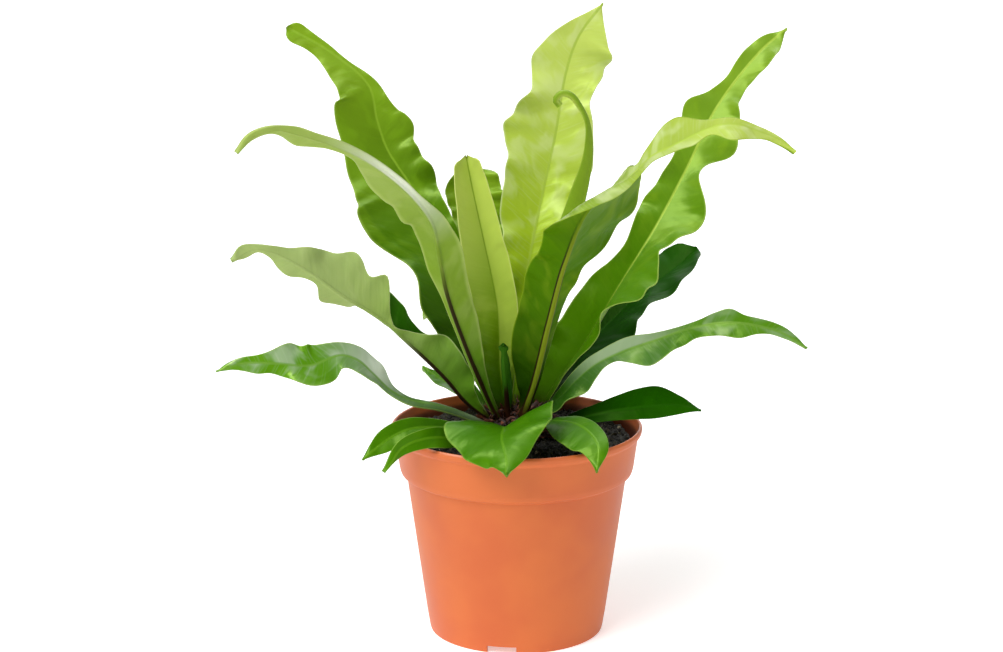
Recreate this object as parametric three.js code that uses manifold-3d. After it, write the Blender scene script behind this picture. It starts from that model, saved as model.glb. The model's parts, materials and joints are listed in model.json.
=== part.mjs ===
// A bird's-nest fern in a moulded plastic nursery pot, in millimetres, +Z up.
// The origin is the middle of the pot's foot, on the surface that it stands on. The front is towards -Y.
import * as THREE from "three";
import { mergeVertices } from "three/addons/utils/BufferGeometryUtils.js";
import Module from "manifold-3d";

const wasm = await Module();
wasm.setup();

// Points nearer to each other than this are one
const WELD = 1e-3;

// Driving dimensions of the pot
const RIM_RADIUS = 60;
const POT_HEIGHT = 101;
const FOOT_RADIUS = 41.8;
const BODY_TOP_RADIUS = 52.6;
const COLLAR_BOTTOM = 77.3;
const COLLAR_STEP = 2.8;
const LIP_HEIGHT = 3.4;
const LIP_REACH = 2.2;
const RIM_WIDTH = 2.1;
const STEP_HEIGHT = 3.2;
const FOOT_WIDTH = 2;
const EASE = 1;
const WALL = 1.4;
const FOOT_HEIGHT = 4;
const FLOOR_THICKNESS = 1.6;
const POT_SEGMENTS = 40;

// Openings in the pot's foot and floor
const NOTCHES = 3;
const NOTCH_WIDTH = 15.4;
const NOTCH_TOP_WIDTH = 12.6;
const NOTCH_HEIGHT = 3.5;
const NOTCH_DEPTH = 12;
const NOTCH_TURN = -100;
const DRAIN_HOLES = 6;
const DRAIN_RADIUS = 3.5;
const DRAIN_RING = 27;
const DRAIN_SEGMENTS = 12;

// Soil and crown
const GAP = 0.3;
const SOIL_LEVEL = 94;
const SOIL_MOUND = 3.5;
const SOIL_LUMP = 0.9;
const LUMP_TURNS = [0.37, 0.31, 0.23, 0.51];
const LUMP_SHIFT = 1.3;
const SOIL_RINGS = 7;
const CROWN_RADIUS = 17;
const CROWN_BOTTOM = 86;
const CROWN_TOP = 109;
const CROWN_SHOULDER = 8;
const CROWN_DOME = 0.6;
const CROWN_RINGS = 8;
const CROWN_FOOT_WIDTH = 1.5;
const CROWN_FOOT_HEIGHT = 3;
const CROWN_SEGMENTS = 28;

// Fronds
const COLUMNS = 5;
const SLOPE_REACH = 0.1;
const SCALLOP = 0.06;
const RUFFLE_RISE = 1.6;
const LEAST_TURN = 1e-6;
const STALK_HALF = 1.6;
const BLADE_START = 4;
const TIP_HALF = 0.5;
const TIP_ROUND = 0.97;
const BLADE_HALF = 0.42;
const EDGE_HALF = 0.33;
const RIB_DEPTH = 1.5;
const STALK_FLAT = 0.7;
const SOCKET_STEPS = 3;
const SOCKET_GAP = 0.35;

const PALETTE = {
  pot: { color: 0xd9733f, roughness: 0.5 },
  soil: { color: 0x1d1712, roughness: 0.95 },
  crown: { color: 0x4a2617, roughness: 0.85 },
  mature: { color: 0x2f6b0a, roughness: 0.35 },
  middle: { color: 0x568f14, roughness: 0.35 },
  young: { color: 0x9dbe33, roughness: 0.4 },
};

// Each frond is described by its midrib, from the crown to the tip, and by its two halves. A half's values are lists
// from base to tip: half is its width, fold the angle that it rises at beside the rib, and cup how much further it
// turns by its margin. Its margin is thrown into waves, and scallop is the share by which they widen and narrow it.
// Left and right are as seen on the upper face with the tip upwards. facing is the compass turn of the upper face at
// the base, without which it faces the middle of the plant, and roll turns the blade about its rib.
const FRONDS = [
  {
    name: "frond_left_tall", tone: "mature", steps: 32, facing: -65, roll: [0, -15],
    rib: [[-9, 5, 104], [-16, 11, 118], [-30, 29, 155], [-39, 43, 182], [-51, 54, 205], [-63, 60, 223],
      [-68, 63, 237], [-72, 67, 253], [-91, 73, 269], [-112, 77, 280.5]],
    left: { half: [1.6, 5, 10, 21, 20, 30, 34, 31, 21, 20, 14, 6, 6], fold: [30, 20, 15], waves: 4,
      height: 2, phase: 0.1 },
    right: { half: [1.6, 4, 7, 9, 10, 11, 12, 13, 16, 7, 2, 3, 5], fold: [30, 20, 15], waves: 7,
      height: 1.5, phase: 0.1 },
  },
  {
    name: "frond_left_arching", tone: "young", steps: 32, facing: 85,
    rib: [[-8, -7, 104], [-14, -13, 118], [-25, -28, 149], [-32, -38, 173], [-36, -48, 197],
      [-39, -54, 210], [-51, -66, 228], [-72, -78, 245], [-96, -87, 255], [-106, -90, 257.5],
      [-115, -92, 254.5], [-121, -94, 248]],
    left: { half: [1.6, 2.2, 3, 4.5, 6, 8, 10, 11, 11.5, 12, 11.5, 10, 7, 4.5, 3, 3, 3, 3.2, 3.2, 3.2, 3,
      3.3, 2, 2, 1], fold: [25, 20, 15], waves: 3, height: 1, phase: 0.4 },
    right: { half: [1.6, 1.8, 2, 2, 2, 2, 2, 2.3, 3, 5.5, 8, 9, 10, 11, 12, 13, 12.5, 8, 3, 3, 6, 6.5, 2.5,
      2, 1], fold: [25, 20, 15], waves: 3, height: 1.5, phase: 0.1 },
  },
  {
    name: "frond_left_ruffled", tone: "middle", steps: 36,
    roll: [0, 0, 0, 5, 10, 20, 30, 55, 80, 85, 80, 70, 60],
    rib: [[-11, -1, 104], [-22, -5, 112], [-34, -10, 127], [-49, -18, 144], [-63, -26, 158.5],
      [-80, -33, 171], [-97, -39, 185], [-111, -44, 194], [-118, -46, 196], [-129, -49, 191]],
    left: { half: [2, 3, 5, 8, 11, 13, 15, 14, 12, 6, 3, 2.5, 8, 18.5, 14.5, 19, 20.5, 15, 12.5, 9.5, 5, 3,
      2, 4, 2], fold: [40, 60, 50, 20, 10], waves: 7, height: 1.5, phase: 0.25, scallop: 0 },
    right: { half: [2, 3, 5, 7, 8, 9, 10, 10, 9, 9, 10, 12, 14, 11, 7, 7, 8.5, 3, 3.5, 6.5, 6, 3, 2, 3,
      0.5], fold: [60, 60, 60, 60, 75, 100, 90, 40, 10, 10, 10, 10, 10], waves: 6, height: 1.5, phase: 0.3,
      scallop: 0 },
  },
  {
    name: "frond_left_low", tone: "mature", steps: 32, roll: [0, -20, -50, -60],
    rib: [[-12, -7, 101], [-26, -17, 110], [-37, -25, 116], [-50, -33, 121], [-58, -38, 127],
      [-66, -43, 136.5], [-73, -46, 144], [-81, -49, 147], [-94, -53, 143.2], [-109, -56, 145],
      [-124, -58, 145.5], [-136, -59, 142]],
    left: { half: [2, 2.2, 2.2, 2.2, 2.2, 2.2, 2.2, 2.3, 2.4, 2.6, 2.8, 3.5, 5, 6.5, 6, 7, 10, 10, 8, 6,
      4.5, 5, 3.5, 1.5, 0.5], fold: [30, 15, 5], waves: 4, height: 1.5, phase: 0.3, scallop: 0 },
    right: { half: [2, 2.2, 2.2, 2.2, 2.2, 2.2, 2.2, 2.3, 2.4, 2.8, 3.5, 5.5, 6.5, 6.5, 6, 6, 8, 9.5, 9,
      9.5, 6, 3.5, 2.8, 2, 0.5], fold: [30, 15, 5], waves: 5, height: 2, phase: 0, scallop: 0 },
  },
  {
    name: "frond_left_short_upper", tone: "mature", steps: 14, roll: [0, -30],
    rib: [[-11, -11, 99], [-26, -26, 105], [-39, -35, 109], [-50, -42, 110], [-58, -45, 107],
      [-66, -49, 102], [-71, -51, 98]],
    left: { half: [1.8, 2, 2.5, 3, 5, 5, 0.5], fold: [25, 10], waves: 1, height: 0.5, phase: 0 },
    right: { half: [1.8, 2.5, 3.5, 4, 5, 5, 0.5], fold: [25, 10], waves: 1, height: 0.5, phase: 0.4 },
  },
  {
    name: "frond_left_short_lower", tone: "middle", steps: 14, roll: [0, -50],
    rib: [[-7, -13, 98], [-21, -29, 101.5], [-33, -40, 105.5], [-43, -49, 107.5], [-53, -56, 105],
      [-61, -60, 95]],
    left: { half: [1.8, 3, 4, 5, 4.5, 3.5, 0.5], fold: [20, 10], waves: 1, height: 0.5, phase: 0.5 },
    right: { half: [1.8, 3, 4, 5, 4.5, 3.5, 0.5], fold: [20, 10], waves: 1, height: 0.5, phase: 0.1 },
  },
  {
    name: "frond_front", tone: "middle", steps: 16,
    rib: [[-2, -13, 98], [-4, -28, 106], [-6, -44, 111], [-7, -60, 110], [-5, -72, 105], [-5, -79, 99]],
    left: { half: [2, 4, 20, 24, 20, 12, 0.8], fold: [15, 31, 24, 10, 0], cup: [0, -20, -40], waves: 1.5,
      height: 2, phase: 0.2 },
    right: { half: [2, 4, 19, 27, 22, 13, 0.8], fold: [20, 34, 9, 2, 0], cup: [0, -20, -40], waves: 1.5,
      height: 2, phase: 0.5 },
  },
  {
    name: "frond_front_right", tone: "middle", steps: 14, roll: [0, 30, 45, 45, 30],
    rib: [[5, -12, 98], [14, -20, 107], [22, -29, 110], [28, -38, 111], [33, -47, 110], [37, -57, 106],
      [36, -65, 96.5]],
    left: { half: [1.8, 3.5, 5, 6, 6, 4.5, 0.5], fold: [15, 0], cup: [0, -20], waves: 1, height: 0.8,
      phase: 0 },
    right: { half: [1.8, 4.5, 9, 12.5, 13, 10, 0.5], fold: [15, 0], cup: [0, -20], waves: 1, height: 0.8,
      phase: 0.5 },
  },
  {
    name: "frond_right_smooth", tone: "mature", steps: 16, roll: [0, 40, 50],
    rib: [[12, -7, 99], [26, -14, 106], [44, -18, 112], [62, -20, 115], [76, -22, 116], [86, -24, 114]],
    left: { half: [1.8, 2.5, 4, 5, 7, 9, 9, 4, 0.5], fold: [20, 5], waves: 1, height: 0.5, phase: 0 },
    right: { half: [1.8, 2.5, 4, 4.5, 5, 5.5, 5.5, 4, 0.5], fold: [20, 5], waves: 1, height: 0.5,
      phase: 0.3 },
  },
  {
    name: "frond_right_low", tone: "middle", steps: 36, roll: [20, 60, 50, 45, 45],
    rib: [[9, -4, 104], [21, -13, 118], [35, -20, 134], [49, -26, 143], [63, -30, 149], [82, -36, 157],
      [99, -40, 160], [119, -43, 156.5], [132, -44, 149]],
    left: { half: [1.8, 2, 2.5, 3, 3.5, 4, 4.3, 4.5, 4.7, 5.2, 5.5, 5, 3.8, 3, 2.5, 2.5, 3.3, 5, 6.5, 4,
      3.5, 3.5, 3, 2, 0.5], fold: [30, 15, 10], waves: 5, height: 1.5, phase: 0.4, scallop: 0 },
    right: { half: [1.8, 4, 6, 8, 9, 9, 8, 6, 3.5, 3.5, 7, 10, 12, 11.5, 8, 6, 6, 6.5, 7.5, 7.5, 4.5, 2.5,
      2, 1, 0.5], fold: [30, 15, 10], waves: 5.5, height: 1.5, phase: 0.25, scallop: 0 },
  },
  {
    name: "frond_right_dark", tone: "mature", steps: 24, facing: -120, roll: [20, 20, 10, 0, 0],
    rib: [[7, 7, 104], [12, 17, 110], [19, 26, 116], [27, 36, 122], [37, 46, 130], [47, 54, 138],
      [58, 61, 147], [70, 67, 155], [82, 72, 163], [90, 76, 170]],
    left: { half: [1.8, 3, 5, 7, 9, 11, 12, 13, 12, 12, 13, 14, 9], fold: [30, 15], waves: 3, height: 1.5,
      phase: 0.1 },
    right: { half: [1.8, 4, 9, 14, 17.5, 20, 21.5, 22.5, 23.5, 24, 24.5, 24.5, 24, 23, 22, 21, 20.5, 20,
      20, 19.5, 19, 18.5, 17, 13, 8], fold: [30, 15], waves: 3, height: 1.5, phase: 0.5 },
  },
  {
    name: "frond_right_tall", tone: "mature", steps: 36, facing: -118,
    rib: [[8, 1, 104], [17, 3, 118], [33, 10, 139], [50, 20, 165], [68, 32, 192], [83, 44, 218],
      [97, 56, 244], [119, 68, 270], [132, 74, 280]],
    left: { half: [1.8, 6, 10, 13.5, 15.5, 16.5, 17, 15, 12, 9, 9, 11, 12, 10, 9, 9, 10, 12, 13, 7, 5, 6,
      6, 4, 0.5], fold: [30, 20, 10], waves: 5, height: 2.5, phase: 0.2 },
    right: { half: [1.8, 3, 5, 8, 14, 24, 21, 14, 20, 17, 8, 17, 16, 8, 7, 9, 0.5], fold: [50, 60, 20, 10,
      10], waves: 6, height: 3.5, phase: 0.7 },
  },
  {
    name: "frond_right_arching", tone: "middle", steps: 36, columns: 9, facing: 100,
    roll: [0, 0, 0, 0, 0, 5, 10, 25, 75, 110, 115, 105, 100],
    rib: [[2, -9, 104], [8, -18, 125], [15, -34, 160], [22, -51, 192], [32, -67, 219], [50, -81, 236],
      [58, -86, 245], [66, -90, 250], [83, -94, 259], [92, -95, 260.5], [102, -94, 257.5],
      [111, -94, 253.5], [118.5, -94, 248]],
    left: { half: [1.8, 1.9, 2.2, 3, 4, 5, 5.5, 6.5, 8, 12, 25, 36, 41, 42, 37, 14, 4, 4, 8, 10, 4, 3, 2.5,
      2, 0.5], fold: [35, 30, 20], waves: 3, height: 2, phase: 0.8 },
    right: { half: [1.8, 4.5, 8, 12, 15, 16.5, 17, 17.3, 17, 14.5, 12, 12.2, 13, 12.5, 11, 9, 4.5, 3.5,
      3.5, 6, 4, 9, 5.5, 2.5, 0.5], fold: [35, 30, 20], cup: [0, 0, 0, 0, 0, 0, -80, -140, -80, 0, 0, 0,
      0], waves: 4, height: 2, phase: 0.3 },
  },
  {
    name: "frond_centre_tall", tone: "young", steps: 32, facing: -90,
    rib: [[-1, 4, 105], [1, 14, 141], [6, 28, 174], [13, 43, 206], [19, 53, 232], [24, 62, 260],
      [30, 66, 277], [42, 70, 293]],
    left: { half: [1.6, 4, 6, 9, 12, 16, 19, 22, 24, 17, 17, 8, 0.5], fold: [30, 15, 10, 5], waves: 5,
      height: 2, phase: 0.6 },
    right: { half: [1.6, 4, 6, 9, 13, 16, 18, 21, 18, 15, 19, 15, 0.5], fold: [30, 15, 10, 5], waves: 4,
      height: 2, phase: 0.3 },
  },
  {
    name: "frond_centre_curled", tone: "young", steps: 36, facing: 180,
    rib: [[3, -2, 105], [7, 1, 127], [13, 3, 153], [21, 5, 176], [31, 7, 206], [35, 7, 232], [33, 6, 245],
      [29, 5, 253], [25, 4, 258], [21, 4, 259], [18, 4, 256], [20, 5, 253]],
    left: { half: [1.6, 4, 7, 9, 10, 10, 9.5, 8, 5, 3, 2, 1], fold: [40], cup: [60, 110, 60, 0], waves: 1,
      height: 0, phase: 0 },
    right: { half: [1.6, 4, 7, 9, 10, 10, 9.5, 8, 5, 3, 2, 1], fold: [40], cup: [60, 110, 60, 0], waves: 1,
      height: 0, phase: 0 },
  },
  {
    name: "frond_centre_folded", tone: "young", steps: 28, columns: 7, facing: -80,
    rib: [[-5, -3, 105], [-8, -7, 128], [-8.5, -9, 147], [-9.5, -10, 162], [-12, -10.5, 176],
      [-15, -10.5, 190], [-18, -10, 204], [-21, -9, 218], [-23.5, -7, 231]],
    left: { half: [2, 6, 10, 13, 15, 16, 16, 15, 14, 12, 10], fold: [30, 38], cup: [0, 0, 0, 0, 0, 10, 20],
      waves: 1, height: 0, phase: 0 },
    right: { half: [2, 5, 8, 10, 11, 12, 12, 11, 10, 9, 8], fold: [30, 45], cup: [0, 0, 0, 0, 0, 0, 20],
      waves: 1, height: 0, phase: 0 },
  },
  {
    name: "frond_centre_spear", tone: "mature", steps: 12,
    rib: [[-4, -9, 104], [-5, -17, 122], [-6, -22, 134], [-6.5, -25, 146]],
    left: { half: [2, 5, 6.5, 6, 2], fold: [40], cup: [50, 80], waves: 1, height: 0, phase: 0 },
    right: { half: [2, 5, 6.5, 6, 2], fold: [40], cup: [50, 80], waves: 1, height: 0, phase: 0 },
  },
  {
    name: "frond_back_dark", tone: "mature", steps: 24, facing: -80,
    rib: [[-5, 9, 104], [-7, 20, 118], [-9, 32, 131], [-13, 48, 151], [-17, 62, 171], [-20, 73, 193],
      [-22, 80, 210]],
    left: { half: [1.8, 3, 6, 8, 9, 11, 12, 12, 13, 13, 14, 14, 9], fold: [30, 15, 10], waves: 4,
      height: 2, phase: 0.2 },
    right: { half: [1.8, 3, 6, 8, 9, 11, 12, 12, 13, 13, 13, 14, 12], fold: [30, 15, 10], waves: 4,
      height: 2, phase: 0.6 },
  },
  {
    name: "frond_back_left_low", tone: "mature", steps: 12,
    rib: [[-11, 7, 101], [-21, 17, 108], [-33, 31, 112], [-46, 47, 116]],
    left: { half: [1.8, 4, 6, 5, 0.5], fold: [20, 10], waves: 1, height: 0.8, phase: 0 },
    right: { half: [1.8, 5, 8, 7, 0.5], fold: [20, 10], waves: 1, height: 0.8, phase: 0.5 },
  },
  {
    name: "frond_back_left", tone: "middle", steps: 24,
    rib: [[-8, 11, 102], [-17, 26, 121], [-26, 47, 134], [-35, 70, 138], [-43, 93, 131]],
    left: { half: [1.8, 5, 9, 12, 12, 9, 0.5], fold: [30, 15, 10], waves: 4, height: 3, phase: 0.7 },
    right: { half: [1.8, 5, 9, 12, 12, 9, 0.5], fold: [30, 15, 10], waves: 4, height: 3, phase: 0.2 },
  },
  {
    name: "frond_back_middle", tone: "mature", steps: 24,
    rib: [[-2, 13, 102], [-4, 31, 118], [-6, 54, 130], [-8, 77, 134], [-9, 98, 125]],
    left: { half: [1.8, 5, 8, 11, 11, 8, 0.5], fold: [30, 15, 10], waves: 4, height: 3, phase: 0.9 },
    right: { half: [1.8, 5, 8, 11, 11, 8, 0.5], fold: [30, 15, 10], waves: 4, height: 3, phase: 0.4 },
  },
  {
    name: "frond_back_right", tone: "middle", steps: 24,
    rib: [[4, 13, 103], [6, 30, 112], [11, 53, 120], [17, 75, 123], [22, 98, 116]],
    left: { half: [1.8, 5, 9, 13, 13, 9, 0.5], fold: [30, 15, 10], waves: 4, height: 3, phase: 0.3 },
    right: { half: [1.8, 5, 9, 13, 13, 9, 0.5], fold: [30, 15, 10], waves: 4, height: 3, phase: 0.8 },
  },
  {
    name: "frond_back_low", tone: "mature", steps: 14,
    rib: [[3, 13, 98], [7, 32, 106], [11, 50, 107], [14, 67, 101], [16, 78, 91]],
    left: { half: [1.8, 4, 8, 9, 8, 5, 0.5], fold: [20, 10, 0], waves: 1, height: 0.8, phase: 0.4 },
    right: { half: [1.8, 4, 8, 9, 8, 5, 0.5], fold: [20, 10, 0], waves: 1, height: 0.8, phase: 0 },
  },
];

const radians = THREE.MathUtils.degToRad;
const { clamp, lerp, smoothstep } = THREE.MathUtils;

// A value given as a list from base to tip, read at share t of the length on a smooth curve through the list.
function along(list, t) {
  const last = list.length - 1;
  const place = t * last;
  const i = Math.min(Math.floor(place), Math.max(last - 1, 0));
  const [a, b, c, d] = [i - 1, i, i + 1, i + 2].map((k) => list[clamp(k, 0, last)]);
  const s = place - i;
  return b + 0.5 * s * (c - a + s * (2 * a - 5 * b + 4 * c - d + s * (3 * (b - c) + d - a)));
}

// A closed mesh as a manifold-3d solid, and back.
function solidOf(geometry) {
  const bare = geometry.clone();
  bare.deleteAttribute("normal");
  bare.deleteAttribute("uv");
  const merged = mergeVertices(bare, WELD);
  return new wasm.Manifold(new wasm.Mesh({
    numProp: 3,
    vertProperties: new Float32Array(merged.attributes.position.array),
    triVerts: new Uint32Array(merged.index.array),
  }));
}

function geometryOf(solid) {
  const mesh = solid.getMesh();
  const geometry = new THREE.BufferGeometry();
  geometry.setAttribute("position", new THREE.BufferAttribute(mesh.vertProperties, 3));
  geometry.setIndex(new THREE.BufferAttribute(mesh.triVerts, 1));
  geometry.computeVertexNormals();
  return geometry;
}

// A lathe profile of [radius, height] points, turned so that it stands on Z.
function turned(profile, segments) {
  const points = profile.map(([r, z]) => new THREE.Vector2(r, z));
  return new THREE.LatheGeometry(points, segments).rotateX(Math.PI / 2);
}

// The radius of the pot's outer wall below the collar.
function bodyRadius(z) {
  return THREE.MathUtils.mapLinear(z, 0, COLLAR_BOTTOM, FOOT_RADIUS, BODY_TOP_RADIUS);
}

function potProfile() {
  const stepRadius = BODY_TOP_RADIUS + COLLAR_STEP;
  const lipBottom = POT_HEIGHT - LIP_HEIGHT;
  const collarTopRadius = RIM_RADIUS - LIP_REACH;
  const rimInside = RIM_RADIUS - RIM_WIDTH;
  const floorTop = FOOT_HEIGHT + FLOOR_THICKNESS;
  const floorRadius = bodyRadius(floorTop) - WALL;
  return [
    [0, FOOT_HEIGHT],
    [bodyRadius(FOOT_HEIGHT) - 2 * WALL, FOOT_HEIGHT],
    [FOOT_RADIUS - FOOT_WIDTH, 0],
    [FOOT_RADIUS - EASE / 2, 0],
    [bodyRadius(EASE), EASE],
    [BODY_TOP_RADIUS, COLLAR_BOTTOM],
    [stepRadius - EASE / 2, COLLAR_BOTTOM + EASE],
    [stepRadius + EASE / 2, COLLAR_BOTTOM + STEP_HEIGHT],
    [collarTopRadius, lipBottom - EASE],
    [RIM_RADIUS - EASE / 3, lipBottom],
    [RIM_RADIUS, POT_HEIGHT - EASE],
    [RIM_RADIUS - EASE / 2, POT_HEIGHT],
    [rimInside + EASE / 2, POT_HEIGHT],
    [rimInside, POT_HEIGHT - EASE],
    [collarTopRadius - WALL, lipBottom - 2 * EASE],
    [stepRadius + EASE / 2 - WALL, COLLAR_BOTTOM + STEP_HEIGHT],
    [BODY_TOP_RADIUS - WALL, COLLAR_BOTTOM],
    [floorRadius - EASE, floorTop + EASE],
    [floorRadius - 2 * EASE, floorTop],
    [0, floorTop],
  ];
}

// The pot is cut below by the notches in its foot and the drain holes in its floor.
function makePot() {
  let pot = solidOf(turned(potProfile(), POT_SEGMENTS));
  const outline = new THREE.Shape();
  outline.moveTo(-NOTCH_WIDTH / 2, -EASE);
  outline.lineTo(NOTCH_WIDTH / 2, -EASE);
  outline.lineTo(NOTCH_TOP_WIDTH / 2, NOTCH_HEIGHT);
  outline.lineTo(-NOTCH_TOP_WIDTH / 2, NOTCH_HEIGHT);
  outline.closePath();
  for (let i = 0; i < NOTCHES; i++) {
    const notch = new THREE.ExtrudeGeometry(outline, { depth: NOTCH_DEPTH, bevelEnabled: false });
    notch.rotateX(Math.PI / 2).rotateZ(Math.PI / 2).translate(FOOT_RADIUS - NOTCH_DEPTH / 2, 0, 0);
    notch.rotateZ(radians(NOTCH_TURN + (i * 360) / NOTCHES));
    pot = pot.subtract(solidOf(notch));
  }
  const drain = new THREE.CylinderGeometry(DRAIN_RADIUS, DRAIN_RADIUS, 3 * FOOT_HEIGHT, DRAIN_SEGMENTS)
    .rotateX(Math.PI / 2);
  pot = pot.subtract(solidOf(drain));
  for (let i = 0; i < DRAIN_HOLES; i++) {
    const hole = drain.clone().translate(DRAIN_RING, 0, 0).rotateZ((i * 2 * Math.PI) / DRAIN_HOLES);
    pot = pot.subtract(solidOf(hole));
  }
  return geometryOf(pot);
}

// The height of the soil's lumpy surface, mounded towards the crown.
function soilHeight(x, y) {
  const r = Math.hypot(x, y);
  const [a, b, c, d] = LUMP_TURNS;
  const lumps = Math.sin(a * x + LUMP_SHIFT) * Math.cos(b * y) + Math.sin(c * (x + y)) * Math.cos(d * (x - y));
  return SOIL_LEVEL + SOIL_MOUND * (1 - r / BODY_TOP_RADIUS) + SOIL_LUMP * lumps;
}

// The soil fills the pot and has a plain round hole for the crown.
function makeSoil() {
  const floor = FOOT_HEIGHT + FLOOR_THICKNESS + GAP;
  const low = bodyRadius(floor) - WALL - 2 * EASE - GAP;
  const middle = BODY_TOP_RADIUS - WALL - GAP;
  const top = middle + COLLAR_STEP;
  const profile = [[0, floor], [low, floor], [low + EASE, floor + EASE], [middle, COLLAR_BOTTOM],
    [top, COLLAR_BOTTOM + STEP_HEIGHT + GAP]];
  for (let i = 0; i <= SOIL_RINGS; i++) {
    profile.push([(top + GAP) * (1 - i / SOIL_RINGS), SOIL_LEVEL]);
  }
  const soil = turned(profile, POT_SEGMENTS);
  const place = soil.attributes.position;
  for (let i = 0; i < place.count; i++) {
    if (place.getZ(i) >= SOIL_LEVEL) place.setZ(i, soilHeight(place.getX(i), place.getY(i)));
  }
  const hole = turned([[0, CROWN_BOTTOM - GAP], [CROWN_RADIUS + GAP, CROWN_BOTTOM - GAP],
    [CROWN_RADIUS + GAP, CROWN_TOP], [0, CROWN_TOP]], CROWN_SEGMENTS);
  return geometryOf(solidOf(soil).subtract(solidOf(hole)));
}

// The places along a frond's midrib, each with the rib's direction, the way the upper face looks and its side.
function frondSpine({ rib, steps, facing, roll = [0] }) {
  const points = rib.map((p) => new THREE.Vector3(...p));
  const curve = new THREE.CatmullRomCurve3(points, false, "centripetal");
  let face = points[0].clone().sub(points.at(-1)).setZ(0);
  if (facing !== undefined) face.set(Math.cos(radians(facing)), Math.sin(radians(facing)), 0);
  return curve.getSpacedPoints(steps).map((place, i) => {
    const tangent = curve.getTangentAt(i / steps);
    face = face.clone().addScaledVector(tangent, -face.dot(tangent)).normalize();
    const up = face.clone().applyAxisAngle(tangent, radians(along(roll, i / steps)));
    return { t: i / steps, place, up, side: tangent.clone().cross(up), tangent };
  });
}

// The half width of one half of a frond at share t, widened and narrowed by the waves of its margin.
function halfWidth({ half, waves, phase, scallop = SCALLOP }, t) {
  const tip = Math.sqrt(1 - clamp((t - TIP_ROUND) / (1 - TIP_ROUND), 0, 1) ** 2);
  const plain = Math.max(along(half, t) * tip, TIP_HALF);
  return plain * (1 + scallop * blade(plain) * Math.cos(2 * Math.PI * (waves * t + phase)));
}

// How far a half width is on the way from a round stalk to a flat blade.
function blade(width) {
  return smoothstep(width, STALK_HALF, BLADE_START);
}

// A point in the middle of the blade's thickness: v is its share of the half width, below zero on the left.
function bladePoint(frond, { t, place, up, side }, v) {
  const part = v < 0 ? frond.left : frond.right;
  const reach = Math.abs(v);
  const width = halfWidth(part, t);
  const open = blade(width);
  const start = radians(along(part.fold, t)) * open;
  const turn = radians(along(part.cup ?? [0], t)) * open || LEAST_TURN;
  const end = start + turn * reach;
  const across = (width * (Math.sin(end) - Math.sin(start))) / turn;
  const lift = (width * (Math.cos(start) - Math.cos(end))) / turn;
  const ruffle = part.height * smoothstep(width, BLADE_START, 3 * BLADE_START) * reach ** RUFFLE_RISE
    * Math.sin(2 * Math.PI * (part.waves * t + part.phase));
  return place.clone()
    .addScaledVector(side, Math.sign(v) * (across - ruffle * Math.sin(end)))
    .addScaledVector(up, lift + ruffle * Math.cos(end));
}

// The rings of points round a frond's cross-sections, over the first upTo steps. grow thickens them all round.
function frondRings(frond, upTo, grow) {
  const spine = frondSpine(frond);
  const columns = frond.columns ?? COLUMNS;
  const rings = [];
  for (let i = 0; i <= upTo; i++) {
    const top = [];
    const bottom = [];
    for (let j = 0; j < columns; j++) {
      const v = (2 * j) / (columns - 1) - 1;
      const here = bladePoint(frond, spine[i], v);
      if (i === 0) here.addScaledVector(spine[0].tangent, -grow);
      const ahead = bladePoint(frond, spine[Math.min(i + 1, frond.steps)], v)
        .sub(bladePoint(frond, spine[Math.max(i - 1, 0)], v));
      const beside = bladePoint(frond, spine[i], Math.min(v + SLOPE_REACH, 1))
        .sub(bladePoint(frond, spine[i], Math.max(v - SLOPE_REACH, -1)));
      const out = beside.cross(ahead).normalize();
      const flat = blade(Math.max(halfWidth(frond.left, spine[i].t), halfWidth(frond.right, spine[i].t)));
      const thin = lerp(BLADE_HALF, EDGE_HALF, v * v);
      const keel = v === 0 ? RIB_DEPTH * (1 - spine[i].t) : 0;
      const round = STALK_HALF * Math.sqrt(1 - STALK_FLAT * v * v);
      top.push(here.clone().addScaledVector(out, lerp(round, thin, flat) + grow));
      bottom.push(here.clone().addScaledVector(out, -lerp(round, thin + keel, flat) - grow));
    }
    for (const ring of [top, bottom]) {
      ring[0].addScaledVector(spine[i].side, -grow);
      ring.at(-1).addScaledVector(spine[i].side, grow);
    }
    rings.push([...top, ...bottom.reverse()]);
  }
  return rings;
}

// A closed skin over a row of rings, with a flat cap at each end. Both faces of a blade split the same way.
function skinned(rings) {
  const size = rings[0].length;
  const columns = size / 2;
  const position = rings.flat().flatMap((p) => [p.x, p.y, p.z]);
  const index = [];
  for (let i = 0; i + 1 < rings.length; i++) {
    for (let j = 0; j < size; j++) {
      const a = i * size + j;
      const b = i * size + ((j + 1) % size);
      if (j < columns) index.push(a, b, b + size, a, b + size, a + size);
      else index.push(a, b, a + size, b, b + size, a + size);
    }
  }
  const last = (rings.length - 1) * size;
  for (let j = 0; j + 1 < columns; j++) {
    const near = j;
    const far = size - 1 - j;
    index.push(near, far, near + 1, near + 1, far, far - 1);
    index.push(last + near, last + near + 1, last + far, last + near + 1, last + far - 1, last + far);
  }
  const geometry = new THREE.BufferGeometry();
  geometry.setAttribute("position", new THREE.Float32BufferAttribute(position, 3));
  geometry.setIndex(index);
  return geometry;
}

function makeFrond(frond) {
  return geometryOf(solidOf(skinned(frondRings(frond, frond.steps, 0))));
}

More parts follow.
